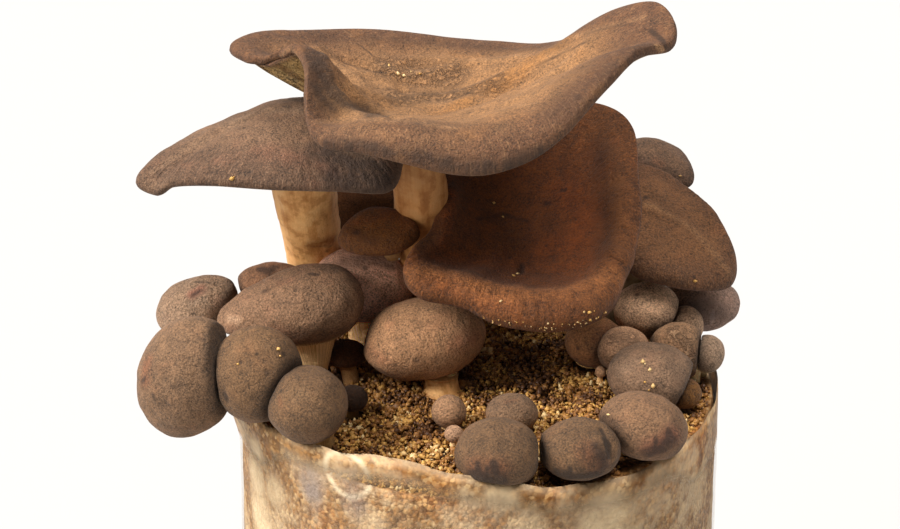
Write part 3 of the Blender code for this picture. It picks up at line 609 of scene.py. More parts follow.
        ("dark", [(487, 468), (488, 479)], 0.7, 1.1),
        ("dark", [(494, 464), (497, 479)], 1.0, 1.2),
        ("dark", [(474, 477), (500, 480)], 2.0, 1.1),
        ("ruddy", [(474, 468), (500, 470)], 3.4, 0.9),
        ("dark", [(480, 441)], 0.5, 0.9),
    ],
    "button_front_middle": [
        ("dark", [(596, 448), (602, 458), (603, 468)], 1.9, 0.75),
        ("dark", [(558, 473), (576, 477), (600, 474)], 1.5, 1.0),
        ("dark", [(570, 468), (571, 476)], 0.6, 1.0),
        ("dark", [(584, 446), (584, 456)], 0.7, 0.6),
        ("dark", [(606, 438), (610, 456)], 0.9, 1.2),
        ("ruddy", [(588, 452), (600, 466)], 3.4, 0.9),
        ("rise", [(602, 428), (611, 445), (612, 458)], 1.2, -0.6),
        ("dark", [(602, 428), (611, 445), (612, 458)], 0.7, 0.8),
    ],
    "button_front_right": [
        ("dark", [(648, 453), (660, 449), (672, 441)], 1.9, 0.9),
        ("dark", [(655, 450), (656, 438)], 0.6, 1.1),
        ("dark", [(668, 444), (669, 431)], 0.9, 1.1),
        ("ruddy", [(650, 448), (663, 442), (674, 434)], 3.0, 0.9),
        ("pale", [(655, 410), (668, 420)], 2.4, 0.30),
    ],
    "button_right_low": [
        ("dark", [(676, 372), (684, 388)], 3.4, 0.32),
        ("pale", [(622, 368), (640, 360)], 2.4, 0.28),
    ],
    "button_right_inner": [
        ("rough", [(612, 338), (636, 340), (630, 352)], 3.0, 0.6),
    ],
    "button_right_dark": [
        ("ruddy", [(596, 338), (606, 330)], 1.8, 0.8),
        ("dark", [(578, 348)], 0.6, 1.0),
        ("dark", [(593, 338)], 0.5, 0.9),
    ],
    "button_right_top": [
        ("dark", [(637, 295)], 0.6, 1.0),
        ("dark", [(647, 300)], 0.5, 0.8),
    ],
    "button_right_outer": [
        ("dark", [(684, 338), (692, 358)], 1.9, 0.40),
        ("rough", [(675, 332), (686, 345), (692, 360)], 2.6, 0.8),
    ],
    "button_right_grey": [
        ("dark", [(700, 306), (722, 312)], 3.2, 0.50),
        ("pale", [(713, 313), (712, 322)], 0.9, 0.5),
    ],
}
MARK_STEP = 6.0  # pixels between the places that a mark is carried to

# Grains of substrate that lie on the mushrooms: the pixel of each, and its size in millimetres.
CRUMBS = {
    "cap_left": [((232, 179), 0.7), ((234, 177), 0.5)],
    "cap_middle": [
        ((514, 276), 0.6), ((518, 274), 0.7), ((494, 203), 0.5), ((503, 217), 0.5), ((501, 301), 0.6),
        ((584, 312), 0.5), ((589, 312), 0.5), ((594, 311), 0.4),
    ],
    "cap_right": [((695, 281), 0.6)],
    "cap_rear": [((680, 176), 0.6)],
    "cap_top": [((398, 74), 0.7), ((404, 76), 0.8), ((411, 72), 0.6), ((420, 74), 0.6), ((389, 66), 0.5)],
    "button_left_low": [((278, 349), 0.8), ((280, 356), 0.7), ((238, 364), 0.7)],
    "button_right_low": [
        ((643, 362), 0.7), ((645, 364), 0.5), ((650, 370), 0.6), ((645, 382), 0.5), ((653, 386), 0.8),
        ((649, 390), 0.5),
    ],
    "button_front_right": [((609, 415), 0.8)],
}
# The lower edge of cap_middle in the photograph, with the grains that line it: how many, how far above and
# below it in pixels, and how large.
CRUMB_EDGE = [(418, 300), (440, 307), (470, 315), (505, 322), (545, 325), (580, 322), (606, 313)]
EDGE_CRUMBS = 56
EDGE_DRIFT = (-1.5, 5.0)
EDGE_CRUMB_SIZE = (0.16, 0.36)


# Shapes: rows of points as numpy arrays, in millimetres.


def unit(rows):
    rows = np.asarray(rows, float)
    return rows / np.linalg.norm(rows, axis=-1, keepdims=True)


def smooth(low, high, value):
    """0 below low, 1 above high, with a smooth rise between them."""
    share = np.clip((value - low) / (high - low), 0, 1)
    return share * share * (3 - 2 * share)


def around(stations, turn):
    """The stations of a closed ring, joined by a smooth curve, at each share turn of the way round."""
    ring = np.array(stations, float)
    step = np.asarray(turn) * len(ring)
    first = np.floor(step).astype(int)
    t = (step - first)[..., None]
    a, b, c, d = (ring[(first + k) % len(ring)] for k in (-1, 0, 1, 2))
    joined = a * (2 * t * t - t - t**3) + b * (2 - 5 * t * t + 3 * t**3)
    return (joined + c * (t + 4 * t * t - 3 * t**3) + d * (t**3 - t * t)) / 2


def lumps(points, size, octaves=1, seed=0):
    """Smooth noise, about -1 to 1, with lumps some size across."""
    shifted = np.asarray(points) / size + seed * 17.3
    return np.array([noise.fractal(row, 1.0, 2.0, octaves) for row in map(Vector, shifted.tolist())])


def relief(points, layers):
    """How far layers of lumps rise, each given by its height, size, octaves and seed."""
    return sum(height * lumps(points, *layer) for height, *layer in layers)


def rim_height(turn):
    return around([(height,) for height in RIM], turn)[..., 0]


def film_reach(turn, height, top):
    """How far out the film stands at a height, where its rim is at top."""
    above = np.maximum(0, (BAG_HEIGHT - height) / (BAG_HEIGHT - BAG_MIDDLE))
    bulge = BAG_BULGE * np.minimum(height / BAG_MIDDLE, above)
    at, wide, out, deep = FLARE
    lean = out * np.exp(-(((turn - at) / wide) ** 2)) * smooth(deep, 0, top - height)
    around_it, up_it = CREASE_BEND
    wave = np.stack([np.cos(TAU * turn) * around_it, np.sin(TAU * turn) * around_it, height / up_it], 1)
    creases = relief(wave, FILM_CREASES) * smooth(BASE_ROUND, CREASES_FROM, height)
    swell, low, high = RIGHT_SWELL
    lean = lean + swell * np.maximum(np.cos(TAU * turn), 0) ** 4 * smooth(low, high, height)
    return BAG_RADIUS + bulge + lean + creases


def substrate_top(x, y):
    return SUBSTRATE_EDGE + SUBSTRATE_DOME * (1 - (x * x + y * y) / SUBSTRATE_RADIUS**2)


def rest_height(x, y):
    """The lowest a button may reach: on the substrate in the bag, over the rim, or free well outside."""
    turn, reach = np.arctan2(y, x) / TAU % 1, np.hypot(x, y)
    over_rim = smooth(*RIM_RAMP, reach)
    height = substrate_top(x, y) * (1 - over_rim) + rim_height(turn) * over_rim + GAP
    return np.where(reach > FREE_REACH, 0.0, height)


def ring_points(centre, normal, radius, turn):
    """Points of circles round centre that face along normal. Each may be one value or one a row."""
    normal = np.broadcast_to(normal, (len(turn), 3))
    across = np.array([1.0, 0.0, 0.0]) - normal * normal[:, :1]
    across = unit(across)
    along = np.cross(normal, across)
    angle = TAU * turn[:, None]
    spread = across * np.cos(angle) + along * np.sin(angle)
    return centre + spread * np.reshape(radius, (-1, 1))


def cap_top_points(cap, share, turn):
    """Points of the cap's upper surface, share of the way from the pole to the margin."""
    ring = around(cap["margin"], turn)
    pole, axis = np.array(cap["pole"]), unit(cap["axis"])
    share = np.maximum(share, 0)
    out, roll = ring[:, :3] - pole, ring[:, 3]
    level = out @ axis
    flat = out - np.outer(level, axis)
    flat = flat + unit(flat) * EDGE_REACH * cap["thickness"][1]
    t = np.clip((share - cap["lip_from"]) / (1 - cap["lip_from"]), 0, 1)
    lip = LIP_ROUND * (1 - np.sqrt(1 - t * t)) + (1 - LIP_ROUND) * t * t
    points = pole + flat * share[:, None]
    height = (level + roll) * share ** cap["dish"] - roll * lip
    for start, end, rise, width in cap.get("folds", []):
        distance, along = segment_distance(points[:, :2], start, end)
        height = height + rise * smooth(1.15, 0.35, along) * np.exp(-((distance / width) ** 2))
    return points + np.outer(height, axis)


def segment_distance(points, start, end):
    """How far each point is from a segment, and the share of the way along it of the nearest place."""
    start, along = np.array(start), np.subtract(end, start)
    t = np.clip((points - start) @ along / (along @ along), 0, 1)
    return np.linalg.norm(points - start - np.outer(t, along), axis=1), t


def cap_frame(cap, share, turn):
    """The upper points there, the surface normals, and the directions out along the surface."""
    step = 0.01
    outer = cap_top_points(cap, share, turn)
    outwards = unit(outer - cap_top_points(cap, share - step, turn))
    sideways = cap_top_points(cap, share, turn + step / 4) - cap_top_points(cap, share, turn - step / 4)
    return outer, unit(np.cross(outwards, sideways)), outwards


def gill_profile(turn, share, gills):
    """How far the gills stand down: long ones from the stem, and short ones between them further out."""
    phase = turn * gills % 1
    long_gill = np.abs(phase - np.rint(phase)) < 0.5 / GILL_COLUMNS
    short_gill = np.abs(phase - 0.5) < 0.5 / GILL_COLUMNS
    start, full, depth = SHORT_GILL
    return np.where(long_gill, 1.0, np.where(short_gill, smooth(start, full, share) * depth, GILL_VALLEY))


def cap_under_points(cap, share, turn):
    """Points of the underside, share of the way from the stem's edge to the margin."""
    pole, axis = np.array(cap["pole"]), unit(cap["axis"])
    at_stem, at_edge = cap["thickness"]
    out = around(cap["margin"], turn)[:, :3] - pole
    out = out - np.outer(out @ axis, axis)
    stem_share = cap["stem_radius"] / np.linalg.norm(out, axis=1)
    whole = stem_share + (1 - stem_share) * share
    top, normal, _ = cap_frame(cap, whole, turn)
    thick = at_stem + (at_edge - at_stem) * whole**FLESH_FALL
    gill = gill_profile(turn, share, cap["gills"])
    thick = thick + cap["gill_depth"] * gill * smooth(0, GILL_FADE[0], share) * smooth(1, GILL_FADE[1], share)
    collar = pole - axis * at_stem + unit(out) * cap["stem_radius"]
    blend = smooth(0, COLLAR, share)[:, None]
    return collar * (1 - blend) + (top - normal * thick[:, None]) * blend


def cap_points(cap, row, turn):
    """A whole cap over a sphere's rows: down the upper surface, round the edge and back in below. Gives
    also how far out each point is, how much of it is flesh or gill and how near it is to the very edge,
    where the skin gets a painted highlight."""
    upper, edge, lower = cap["rows"]
    pole, axis = np.array(cap["pole"]), unit(cap["axis"])
    last = upper + edge + lower
    share = np.where(row <= upper, 1 - (1 - np.minimum(row / upper, 1)) ** 1.6, 1.0)
    points = cap_top_points(cap, share, turn)
    on_edge = (row > upper) & (row < upper + edge)
    top, normal, outwards = cap_frame(cap, np.ones_like(turn), turn)
    angle = (math.pi * (row - upper) / edge)[:, None]
    thick = cap["thickness"][1] / 2
    rolled = top - normal * thick + (normal * np.cos(angle) + outwards * np.sin(angle)) * thick
    points = np.where(on_edge[:, None], rolled, points)
    below = row >= upper + edge
    under_share = np.clip((last - 1 - row) / (lower - 1), 0, 1)
    under = cap_under_points(cap, under_share, turn)
    points = np.where(below[:, None], under, points)
    points[row == 0] = pole
    points[row == last] = pole - axis * cap["thickness"][0]
    share = np.where(below, under_share, share)
    flesh = smooth(upper + 1.2 * edge, upper + 1.6 * edge, row)
    # rim: the middle of the rolled edge, where the skin gets a painted highlight.
    rim = np.exp(-(((row - upper - 0.5 * edge) / 0.8) ** 2))
    return points, share, flesh, rim


def ball_rotation(centre, radii, foot):
    """Turns a ball's pole away from its foot, so that its rows close round the stub."""
    low = Vector((*foot, substrate_top(*foot)))
    towards = low - Vector(centre)
    aim = Vector([d / r for d, r in zip(towards, radii)])
    return np.array(Vector((0, 0, -1)).rotation_difference(aim).to_matrix())


def ball_points(centre, radii, rotation, share, turn, planes, lean, narrow=0.0):
    """Points of a ball, share of the way from the pole that rotation gives to its stub, leaning, narrowed
    and pressed back behind its planes."""
    angle = math.pi * BALL_SWEEP * share
    way = np.stack([np.sin(angle) * np.cos(TAU * turn), np.sin(angle) * np.sin(TAU * turn), np.cos(angle)], 1)
    way = way @ rotation.T
    waist = 1 + narrow * way[:, 0]
    local = way * radii * np.stack([np.ones_like(waist), waist, waist], 1)
    points = np.array(centre) + local @ np.array(Matrix.Rotation(math.radians(lean), 3, "Y")).T
    return pressed(points, np.array(centre), planes)


def contact_planes():
    """For each ball, the planes that part it from the balls it presses against: normal and reach."""
    balls = {name: (np.array(spec[0]), np.array(spec[1])) for name, spec in BUTTONS.items()}
    balls["cap_front"] = (np.array(FRONT_CAP[0]), np.array(FRONT_CAP[1]))
    planes = {name: [] for name in balls}
    for name, (centre, radii) in balls.items():
        for other, (other_centre, other_radii) in balls.items():
            if other == name:
                continue
            apart = other_centre - centre
            distance = np.linalg.norm(apart)
            direction = apart / distance
            mine, theirs = (np.linalg.norm(r * direction) for r in (radii, other_radii))
            overlap = mine + theirs - distance
            if overlap > -GAP:
                planes[name].append((direction, mine - (overlap + GAP) / 2))
    return planes


def pressed(points, centre, planes):
    """The points held back, softly, behind each plane round centre."""
    for direction, reach in planes:
        soft = PRESS_SOFTNESS * reach
        beyond = np.maximum(0, (points - centre) @ direction - (reach - soft))
        points = points - np.outer(beyond - soft * (1 - np.exp(-beyond / soft)), direction)
    return points


# Meshes.


def read_points(data):
    points = np.empty(len(data.vertices) * 3, np.float32)
    data.vertices.foreach_get("co", points)
    return points.reshape(-1, 3).astype(float)


def write_points(data, points):
    data.vertices.foreach_set("co", np.asarray(points, np.float32).ravel())
    data.update()


def write_attribute(data, name, values):
    kind, field = ("FLOAT_VECTOR", "vector") if values.ndim == 2 else ("FLOAT", "value")
    data.attributes.new(name, kind, "POINT").data.foreach_set(field, values.astype(np.float32).ravel())


def sphere_mesh(name, columns, rows):
    """A UV sphere, with the row and the share of a turn of each of its points."""
    mesh = bmesh.new()
    bmesh.ops.create_uvsphere(mesh, u_segments=columns, v_segments=rows, radius=1)
    data = bpy.data.meshes.new(name)
    mesh.to_mesh(data)
    mesh.free()
    points = read_points(data)
    row = np.rint(np.arccos(np.clip(points[:, 2], -1, 1)) / math.pi * rows)
    turn = np.rint(np.arctan2(points[:, 1], points[:, 0]) / TAU * columns) % columns / columns
    return data, row, turn


def raise_surface(data, heights):
    """Moves each point along its normal by its height."""
    normals = np.empty(len(data.vertices) * 3, np.float32)
    data.vertex_normals.foreach_get("vector", normals)
    write_points(data, read_points(data) + normals.reshape(-1, 3) * (heights * MM)[:, None])


def add_piece(data, material, slot, *nodes):
    """Puts a finished mesh in the scene, in place of the solids it stands for."""
    data.shade_smooth()
    data.materials.append(material)
    piece = bpy.data.objects.new(data.name, data)
    bpy.context.scene.collection.objects.link(piece)
    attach(piece, "root")
    if nodes:
        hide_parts(*nodes)


def write_flow(data, turn, along, flesh):
    """What the finishes follow: flow, round and along the piece, for fibres, out for the share of the way
    out, flesh where the skin gives way to pale flesh or gills, and the level and leaning of the whole
    piece, which hold its own tone together with painted light and shade."""
    write_attribute(data, "flow", np.stack([np.cos(TAU * turn), np.sin(TAU * turn), along], 1))
    write_attribute(data, "out", along)
    write_attribute(data, "flesh", flesh)
    level, leaning = TONES_AND_PAINTED_LIGHT.get(data.name.removesuffix("_look"), (1.0, "even"))
    write_attribute(data, "tint", np.tile(level * np.array(LEANINGS[leaning]), (len(turn), 1)))


def write_crease_shade(data, points, centre, planes):
    """How near each point is to a ball that this one presses against, or to the substrate: painted shade."""
    distance = [reach - (points - centre) @ direction for direction, reach in planes]
    distance.append((points[:, 2] - substrate_top(points[:, 0], points[:, 1])) * 1.2)
    write_attribute(data, "crease", np.exp(-((np.maximum(np.min(distance, axis=0), 0) / CREASE_SHADE_REACH) ** 2)))


def add_cap(name, cap, material):
    rows = sum(cap["rows"])
    data, row, turn = sphere_mesh(name + "_look", cap["gills"] * GILL_COLUMNS, rows)
    points, share, flesh, rim = cap_points(cap, row, turn)
    write_points(data, points * MM)
    skin = 1 - flesh
    uneven = relief(points, CAP_RELIEF)
    radial = np.stack([np.cos(TAU * turn), np.sin(TAU * turn), share * WRINKLE_STRETCH], 1)
    depth, width, from_share = cap["wrinkles"]
    wrinkles = depth * lumps(radial, width, 1, 2) * smooth(from_share, from_share + 0.2, share)
    wrinkles = wrinkles * smooth(1.0, 0.94, share)
    raise_surface(data, skin * (uneven * smooth(1.02, 0.8, share) + wrinkles))
    write_flow(data, turn, share, flesh)
    write_attribute(data, "rim", rim)
    slot = "red-brown cap" if cap["finish"] == "rust" else "cap skin"
    add_piece(data, material, slot, name)


def add_stem(name, foot, foot_radius, top, axis, top_radius, material):
    columns, rows = STEM_MESH
    data, row, turn = sphere_mesh(name + "_look", columns, rows)
    on_substrate = len(foot) == 2
    low = np.array([*foot, substrate_top(*foot)]) if on_substrate else np.array(foot)
    rising = np.array([0.0, 0.0, 1.0]) if on_substrate else unit(top - low)
    bend = np.linalg.norm(top - low) / 3
    t = (1 - np.clip((row - 1) / (rows - 2), 0, 1))[:, None]
    bows = (low, low + rising * bend, top - axis * bend, top)
    centre = bows[0] * (1 - t) ** 3 + bows[1] * 3 * t * (1 - t) ** 2 + bows[2] * 3 * t * t * (1 - t)
    centre = centre + bows[3] * t**3
    t = t[:, 0]
    waist = 1 - STEM_WAIST * np.sin(math.pi * t)
    flare = 1 + STEM_FLARE[0] * smooth(STEM_FLARE[1], 1.0, t) + FOOT_FLARE[0] * smooth(FOOT_FLARE[1], 0.0, t)
    radius = (foot_radius + (top_radius - foot_radius) * t) * waist * flare
    radius = radius * ((row > 0) & (row < rows))
    facing = unit(rising * (1 - t[:, None]) + axis * t[:, None])
    points = ring_points(centre, facing, radius, turn)
    write_points(data, points * MM)
    fibre = np.stack([np.cos(TAU * turn), np.sin(TAU * turn), t * RIDGE_STRETCH], 1)
    ridges = relief(fibre, STEM_RIDGES) + relief(points, STEM_RELIEF)
    raise_surface(data, ridges * (row > 0) * (row < rows))
    write_flow(data, turn, t, np.ones_like(turn))
    add_piece(data, material, "stem flesh", name)


def add_button(name, spec, planes, material):
    centre, radii, foot, stub, lean, narrow, finish = spec
    size = min(1.0, max(radii) / LARGE_BUTTON)
    scale = max(SMALLEST_SHARE, size)
    columns, rows = (2 * round(count * scale / 2) for count in BUTTON_MESH)
    data, row, turn = sphere_mesh(name + "_look", columns, rows)
    hangs = math.hypot(*centre[:2]) > OVER_RIM
    ball_rows = rows * (BALL_ROWS - hangs) // BUTTON_ROWS
    share = np.minimum(row / ball_rows, 1)
    rotation = ball_rotation(centre, radii, foot)
    points = ball_points(centre, radii, rotation, share, turn, planes, lean, narrow)
    points[:, 2] = np.maximum(points[:, 2], rest_height(points[:, 0], points[:, 1]))
    low = np.array([*foot, substrate_top(*foot)])
    foot_ring = ring_points(low, (0.0, 0.0, 1.0), np.where(row < rows, stub, 0.0), turn)
    foot_ring[:, 2] = substrate_top(foot_ring[:, 0], foot_ring[:, 1])
    down = np.clip((row - ball_rows) / (rows - 1 - ball_rows), 0, 1)[:, None] ** STUB_CURVE
    if hangs:
        neck = foot_ring.copy()
        neck[:, 2] = max(RIM) + stub / 2
        stub_points = bent(points, neck, foot_ring, down)
    else:
        stub_points = points * (1 - down) + foot_ring * down
    points = np.where(row[:, None] > ball_rows, stub_points, points)
    write_points(data, points * MM)
    write_crease_shade(data, points, np.array(centre), planes)
    flesh = smooth(ball_rows - 0.12 * rows, ball_rows + 1, row)
    raise_surface(data, relief(points, BUTTON_RELIEF) * size * (row < rows))
    write_flow(data, turn, share, flesh)
    slot = "purple button" if finish in ("purple", "pinkish") else "button skin"
    add_piece(data, material, slot, name)


def bent(start, middle, end, share):
    """A way from start to end past middle."""
    return start * (1 - share) ** 2 + middle * 2 * share * (1 - share) + end * share**2


def front_stem_top():
    centre, radii = FRONT_CAP
    return np.array([*FRONT_STEM[1], centre[2] - FRONT_FLAT * radii[2]])


def add_front_cap(planes, material):
    """The front cap, a bun with a flat underside that its own stem carries."""
    centre, radii = FRONT_CAP
    columns, rows = FRONT_MESH
    ball_rows = rows * BALL_ROWS // BUTTON_ROWS
    data, row, turn = sphere_mesh("cap_front_look", columns, rows)
    share = np.minimum(row / ball_rows, 1)
    points = ball_points(centre, radii, np.eye(3), share, turn, planes, FRONT_LEAN)
    top = front_stem_top()
    inner = ring_points(top, (0.0, 0.0, 1.0), np.where(row < rows, FRONT_STEM[3], 0.0), turn)
    down = np.clip((row - ball_rows) / (rows - 1 - ball_rows), 0, 1)[:, None]
    points = np.where(row[:, None] > ball_rows, points * (1 - down) + inner * down, points)
    points[:, 2] = np.maximum(points[:, 2], top[2])
    write_points(data, points * MM)
    write_crease_shade(data, points, np.array(centre), planes)
    flesh = smooth(ball_rows + 1, ball_rows + 4, row)
    raise_surface(data, relief(points, FRONT_RELIEF) * (1 - flesh))
    write_flow(data, turn, share, flesh)
    add_piece(data, material, "button skin", "cap_front")


# Materials.


class Value:
    """A socket that gives a number. Arithmetic on it adds Math nodes, with plain numbers on either side."""

    def __init__(self, paint, socket):
        self.paint, self.socket = paint, socket

    def math(self, operation, first, second):
        return self.paint.add("ShaderNodeMath", {"operation": operation}, {0: first, 1: second})

    def __add__(self, other):
        return self.math("ADD", self, other)

    def __sub__(self, other):
        return self.math("SUBTRACT", self, other)

    def __rsub__(self, other):
        return self.math("SUBTRACT", other, self)

    def __mul__(self, other):
        return self.math("MULTIPLY", self, other)

    __radd__ = __add__
    __rmul__ = __mul__

    def most(self, other):
        return self.math("MAXIMUM", self, other)

    def rise(self, low, high):
        """0 below low, 1 above high, with a smooth rise between them; falls where low is above high."""
        values = {"Value": self, "From Min": low, "From Max": high}
        return self.paint.add("ShaderNodeMapRange", {"interpolation_type": "SMOOTHSTEP"}, values)


class Paint:
    """A new material: adds nodes to its tree and links them to its Principled shader."""

    def __init__(self, name, **constants):
        self.material = bpy.data.materials.new(name)
        self.material.use_nodes = True
        self.tree = self.material.node_tree
        self.shader = self.tree.nodes["Principled BSDF"]
        for socket, value in constants.items():
            self.shader.inputs[socket.replace("_", " ")].default_value = value
        self.place = self.add("ShaderNodeTexCoord", {}, {}, "Object")

    def add(self, kind, settings, values, output=0):
        """A node of a type, with its settings, and the numbers, colours or links of its sockets."""
        node = self.tree.nodes.new(kind)
        for field, setting in settings.items():
            setattr(node, field, setting)
        for socket, value in values.items():
            if isinstance(value, Value):
                self.tree.links.new(value.socket, node.inputs[socket])
            elif value is not None:
                node.inputs[socket].default_value = value
        return Value(self, node.outputs[output])

    def attribute(self, name, output="Fac"):
        return self.add("ShaderNodeAttribute", {"attribute_name": name}, {}, output)

    def grain(self, size, detail=2.0, rough=0.5):
        """Noise, about 0 to 1, in patches some size millimetres across."""
        values = {"Vector": self.place, "Scale": 1 / (size * MM), "Detail": detail, "Roughness": rough}
        return self.add("ShaderNodeTexNoise", {}, values, "Fac")

    def streaks(self, across, along, detail=2.0):
        """Noise drawn out along the piece, with so many streaks round it and along it."""
        flow = self.attribute("flow", "Vector")
        stretched = self.vector("MULTIPLY", flow, (across, across, along))
        values = {"Vector": stretched, "Scale": 1.0, "Detail": detail}
        return self.add("ShaderNodeTexNoise", {}, values, "Fac")

    def vector(self, operation, first, second, output=0):
        return self.add("ShaderNodeVectorMath", {"operation": operation}, {0: first, 1: second}, output)

    def distance(self, centre):
        """How far each point is, in metres, from a place in millimetres."""
        centre = tuple(float(value) * MM for value in centre)
        return self.vector("DISTANCE", self.place, centre, "Value")

    def near(self, centre, reach):
        """1 at a place in millimetres, falling to 0 by its reach and a half."""
        return self.distance(centre).rise(reach * 1.5 * MM, reach * 0.4 * MM)

    def ring(self, centre, radius, width):
        """1 on a ring round a place in millimetres, falling to 0 within its width."""
        distance = self.distance(centre)
        inner, outer = (radius - width) * MM, (radius + width) * MM
        return distance.rise(inner, radius * MM) * distance.rise(outer, radius * MM)

    def mix(self, factor, first, second):
        """first where factor is 0 and second where it is 1: two colours, of three numbers or linked."""
        first, second = (c if isinstance(c, Value) else (*c, 1.0) for c in (first, second))
        return self.add("ShaderNodeMix", {"data_type": "RGBA"}, {0: factor, 6: first, 7: second}, 2)

    def tone(self, colour, level):
        """A colour made lighter or darker by a number."""
        settings = {"operation": "SCALE"}
        return self.add("ShaderNodeVectorMath", settings, {0: colour, "Scale": level})

    def bump(self, *layers):
        """Stacks bumps, each a height from 0 to 1 and its depth in millimetres, and gives the normal."""
        normal = None
        for height, depth in layers:
            values = {"Height": height, "Distance": depth * MM, "Strength": 1.0, "Normal": normal}
            normal = self.add("ShaderNodeBump", {}, values)
        return normal

    def finish(self, **links):
        for socket, value in links.items():
            self.tree.links.new(value.socket, self.shader.inputs[socket.replace("_", " ")])
        return self.material


# Skins: the colour of the middle, of the edge, of specks and dark marks, of ruddy places and of pale ones.
SKINS = {
    "tan": (
        (0.375, 0.205, 0.112), (0.150, 0.070, 0.040), (0.034, 0.017, 0.010), (0.38, 0.185, 0.072),
        (0.41, 0.240, 0.150),
    ),
    "taupe": (
        (0.172, 0.093, 0.052), (0.101, 0.052, 0.029), (0.024, 0.012, 0.008), (0.165, 0.064, 0.037),
        (0.28, 0.17, 0.105),
    ),
    "rust": (
        (0.103, 0.026, 0.002), (0.092, 0.0285, 0.005), (0.011, 0.003, 0.001), (0.147, 0.032, 0.002),
        (0.25, 0.092, 0.028),
    ),
    "brown": (
        (0.140, 0.065, 0.032), (0.094, 0.042, 0.022), (0.022, 0.010, 0.006), (0.160, 0.062, 0.028),
        (0.27, 0.155, 0.095),
    ),
    "dull": (
        (0.132, 0.061, 0.030), (0.104, 0.047, 0.024), (0.022, 0.010, 0.006), (0.160, 0.062, 0.028),
        (0.27, 0.155, 0.095),
    ),
    "grey": (
        (0.159, 0.091, 0.054), (0.086, 0.045, 0.026), (0.022, 0.012, 0.008), (0.175, 0.075, 0.040),
        (0.28, 0.185, 0.125),
    ),
    "purple": (
        (0.160, 0.086, 0.058), (0.135, 0.073, 0.053), (0.026, 0.014, 0.011), (0.205, 0.090, 0.062),
        (0.26, 0.17, 0.140),
    ),
    "pinkish": (
        (0.240, 0.135, 0.080), (0.205, 0.112, 0.068), (0.060, 0.032, 0.020), (0.260, 0.130, 0.075),
        (0.36, 0.23, 0.15),
    ),
}
GILL_COLOUR = (0.86, 0.58, 0.30)
GILL_SHADE = (0.50, 0.29, 0.13)


def skin_material(finish):
    """Velvety cap skin: two tones parted by the way out, stippled, mottled, marked and lined by fibres. The
    gills below it are part of the same material."""
    middle, edge, speck, ruddy, pale = SKINS[finish]
    gloss, sheen = (0.06, 0.0) if finish == "dull" else (0.35, 0.04)
    paint = Paint("skin_" + finish, Roughness=0.78, Specular_IOR_Level=gloss, Sheen_Weight=sheen)
    out, flesh = paint.attribute("out"), paint.attribute("flesh")
    back = paint.add("ShaderNodeSeparateXYZ", {}, {0: paint.attribute("flow", "Vector")}, 1)
    patches, blush, mottle = paint.grain(13.0, 3.0), paint.grain(6.5, 3.0, 0.6), paint.grain(2.6, 3.0, 0.6)
    stipple, dust = paint.grain(0.42, 2.0, 0.7), paint.grain(1.1, 2.0, 0.6)
    fibres, fibrils = paint.streaks(40.0, 11.0, 3.0), paint.streaks(110.0, 40.0, 2.0)
    soft = 1 + (mottle - 0.5) * 1.2 + (fibrils - 0.5) * 1.2
    ragged = 1 + (mottle - 0.5) * 3.0 + (stipple - 0.5) * 3.6 + (fibres - 0.5) * 1.4
    towards_edge = (out + (patches - 0.5) * 0.4 + back * 0.07).rise(0.58, 0.92)
    colour = paint.mix(towards_edge, middle, edge)
    reddened = (paint.attribute("ruddy") * soft).rise(0.10, 1.1)
    colour = paint.mix((blush.rise(0.50, 0.74) * 0.25).most(reddened), colour, ruddy)
    # A painted highlight along the middle of the rolled edge.
    rim = paint.attribute("rim") * 0.5
    colour = paint.mix((paint.attribute("pale") * soft).rise(0.05, 1.0).most(rim), colour, pale)
    colour = paint.mix(fibrils.rise(0.50, 0.74) * (0.12 + towards_edge * 0.30), colour, pale)
    level = 1 + (blush - 0.5) * 0.7 + (mottle - 0.5) * 1.1 + (stipple - 0.5) * 2.9 + (fibres - 0.5) * 0.5
    colour = paint.tone(colour, level.most(0.2))
    dots = dust.rise(0.36, 0.27) * 0.45
    marked = (paint.attribute("dark") * ragged).rise(0.22, 0.85) * 0.82
    colour = paint.mix(dots.most(marked), colour, speck)
    rough = paint.attribute("rough")
    ripple = paint.grain(1.7, 3.0, 0.65)
    cracks = ripple.rise(0.40, 0.50) * ripple.rise(0.60, 0.50) * (rough * ragged).rise(0.10, 0.80)
    colour = paint.mix(rough * ripple.rise(0.54, 0.70) * 0.55, colour, pale)
    colour = paint.mix(cracks * 0.35, colour, speck)
    # Painted shade in the creases where balls press together and near the substrate; at the foot, staining
    # too.
    colour = paint.tone(colour, 1 - paint.attribute("crease") * 0.55)
    lines = paint.streaks(62.0, 1.5, 1.0)
    gills = paint.mix(lines.rise(0.42, 0.60), GILL_COLOUR, GILL_SHADE)
    colour = paint.mix(flesh, colour, paint.tone(gills, 0.96 + mottle * 0.08))
    # The piece's level and leaning: its own tone, with painted light and shade.
    colour = paint.vector("MULTIPLY", colour, paint.attribute("tint", "Vector"))
    normal = paint.bump((mottle, 0.40), (fibrils, 0.14), (stipple, 0.30), (dust, 0.36), (1 - cracks, 0.5))
    return paint.finish(Base_Color=colour, Normal=normal)


def skin(finish):
    """The skin material of that finish, made once."""
    return bpy.data.materials.get("skin_" + finish) or skin_material(finish)


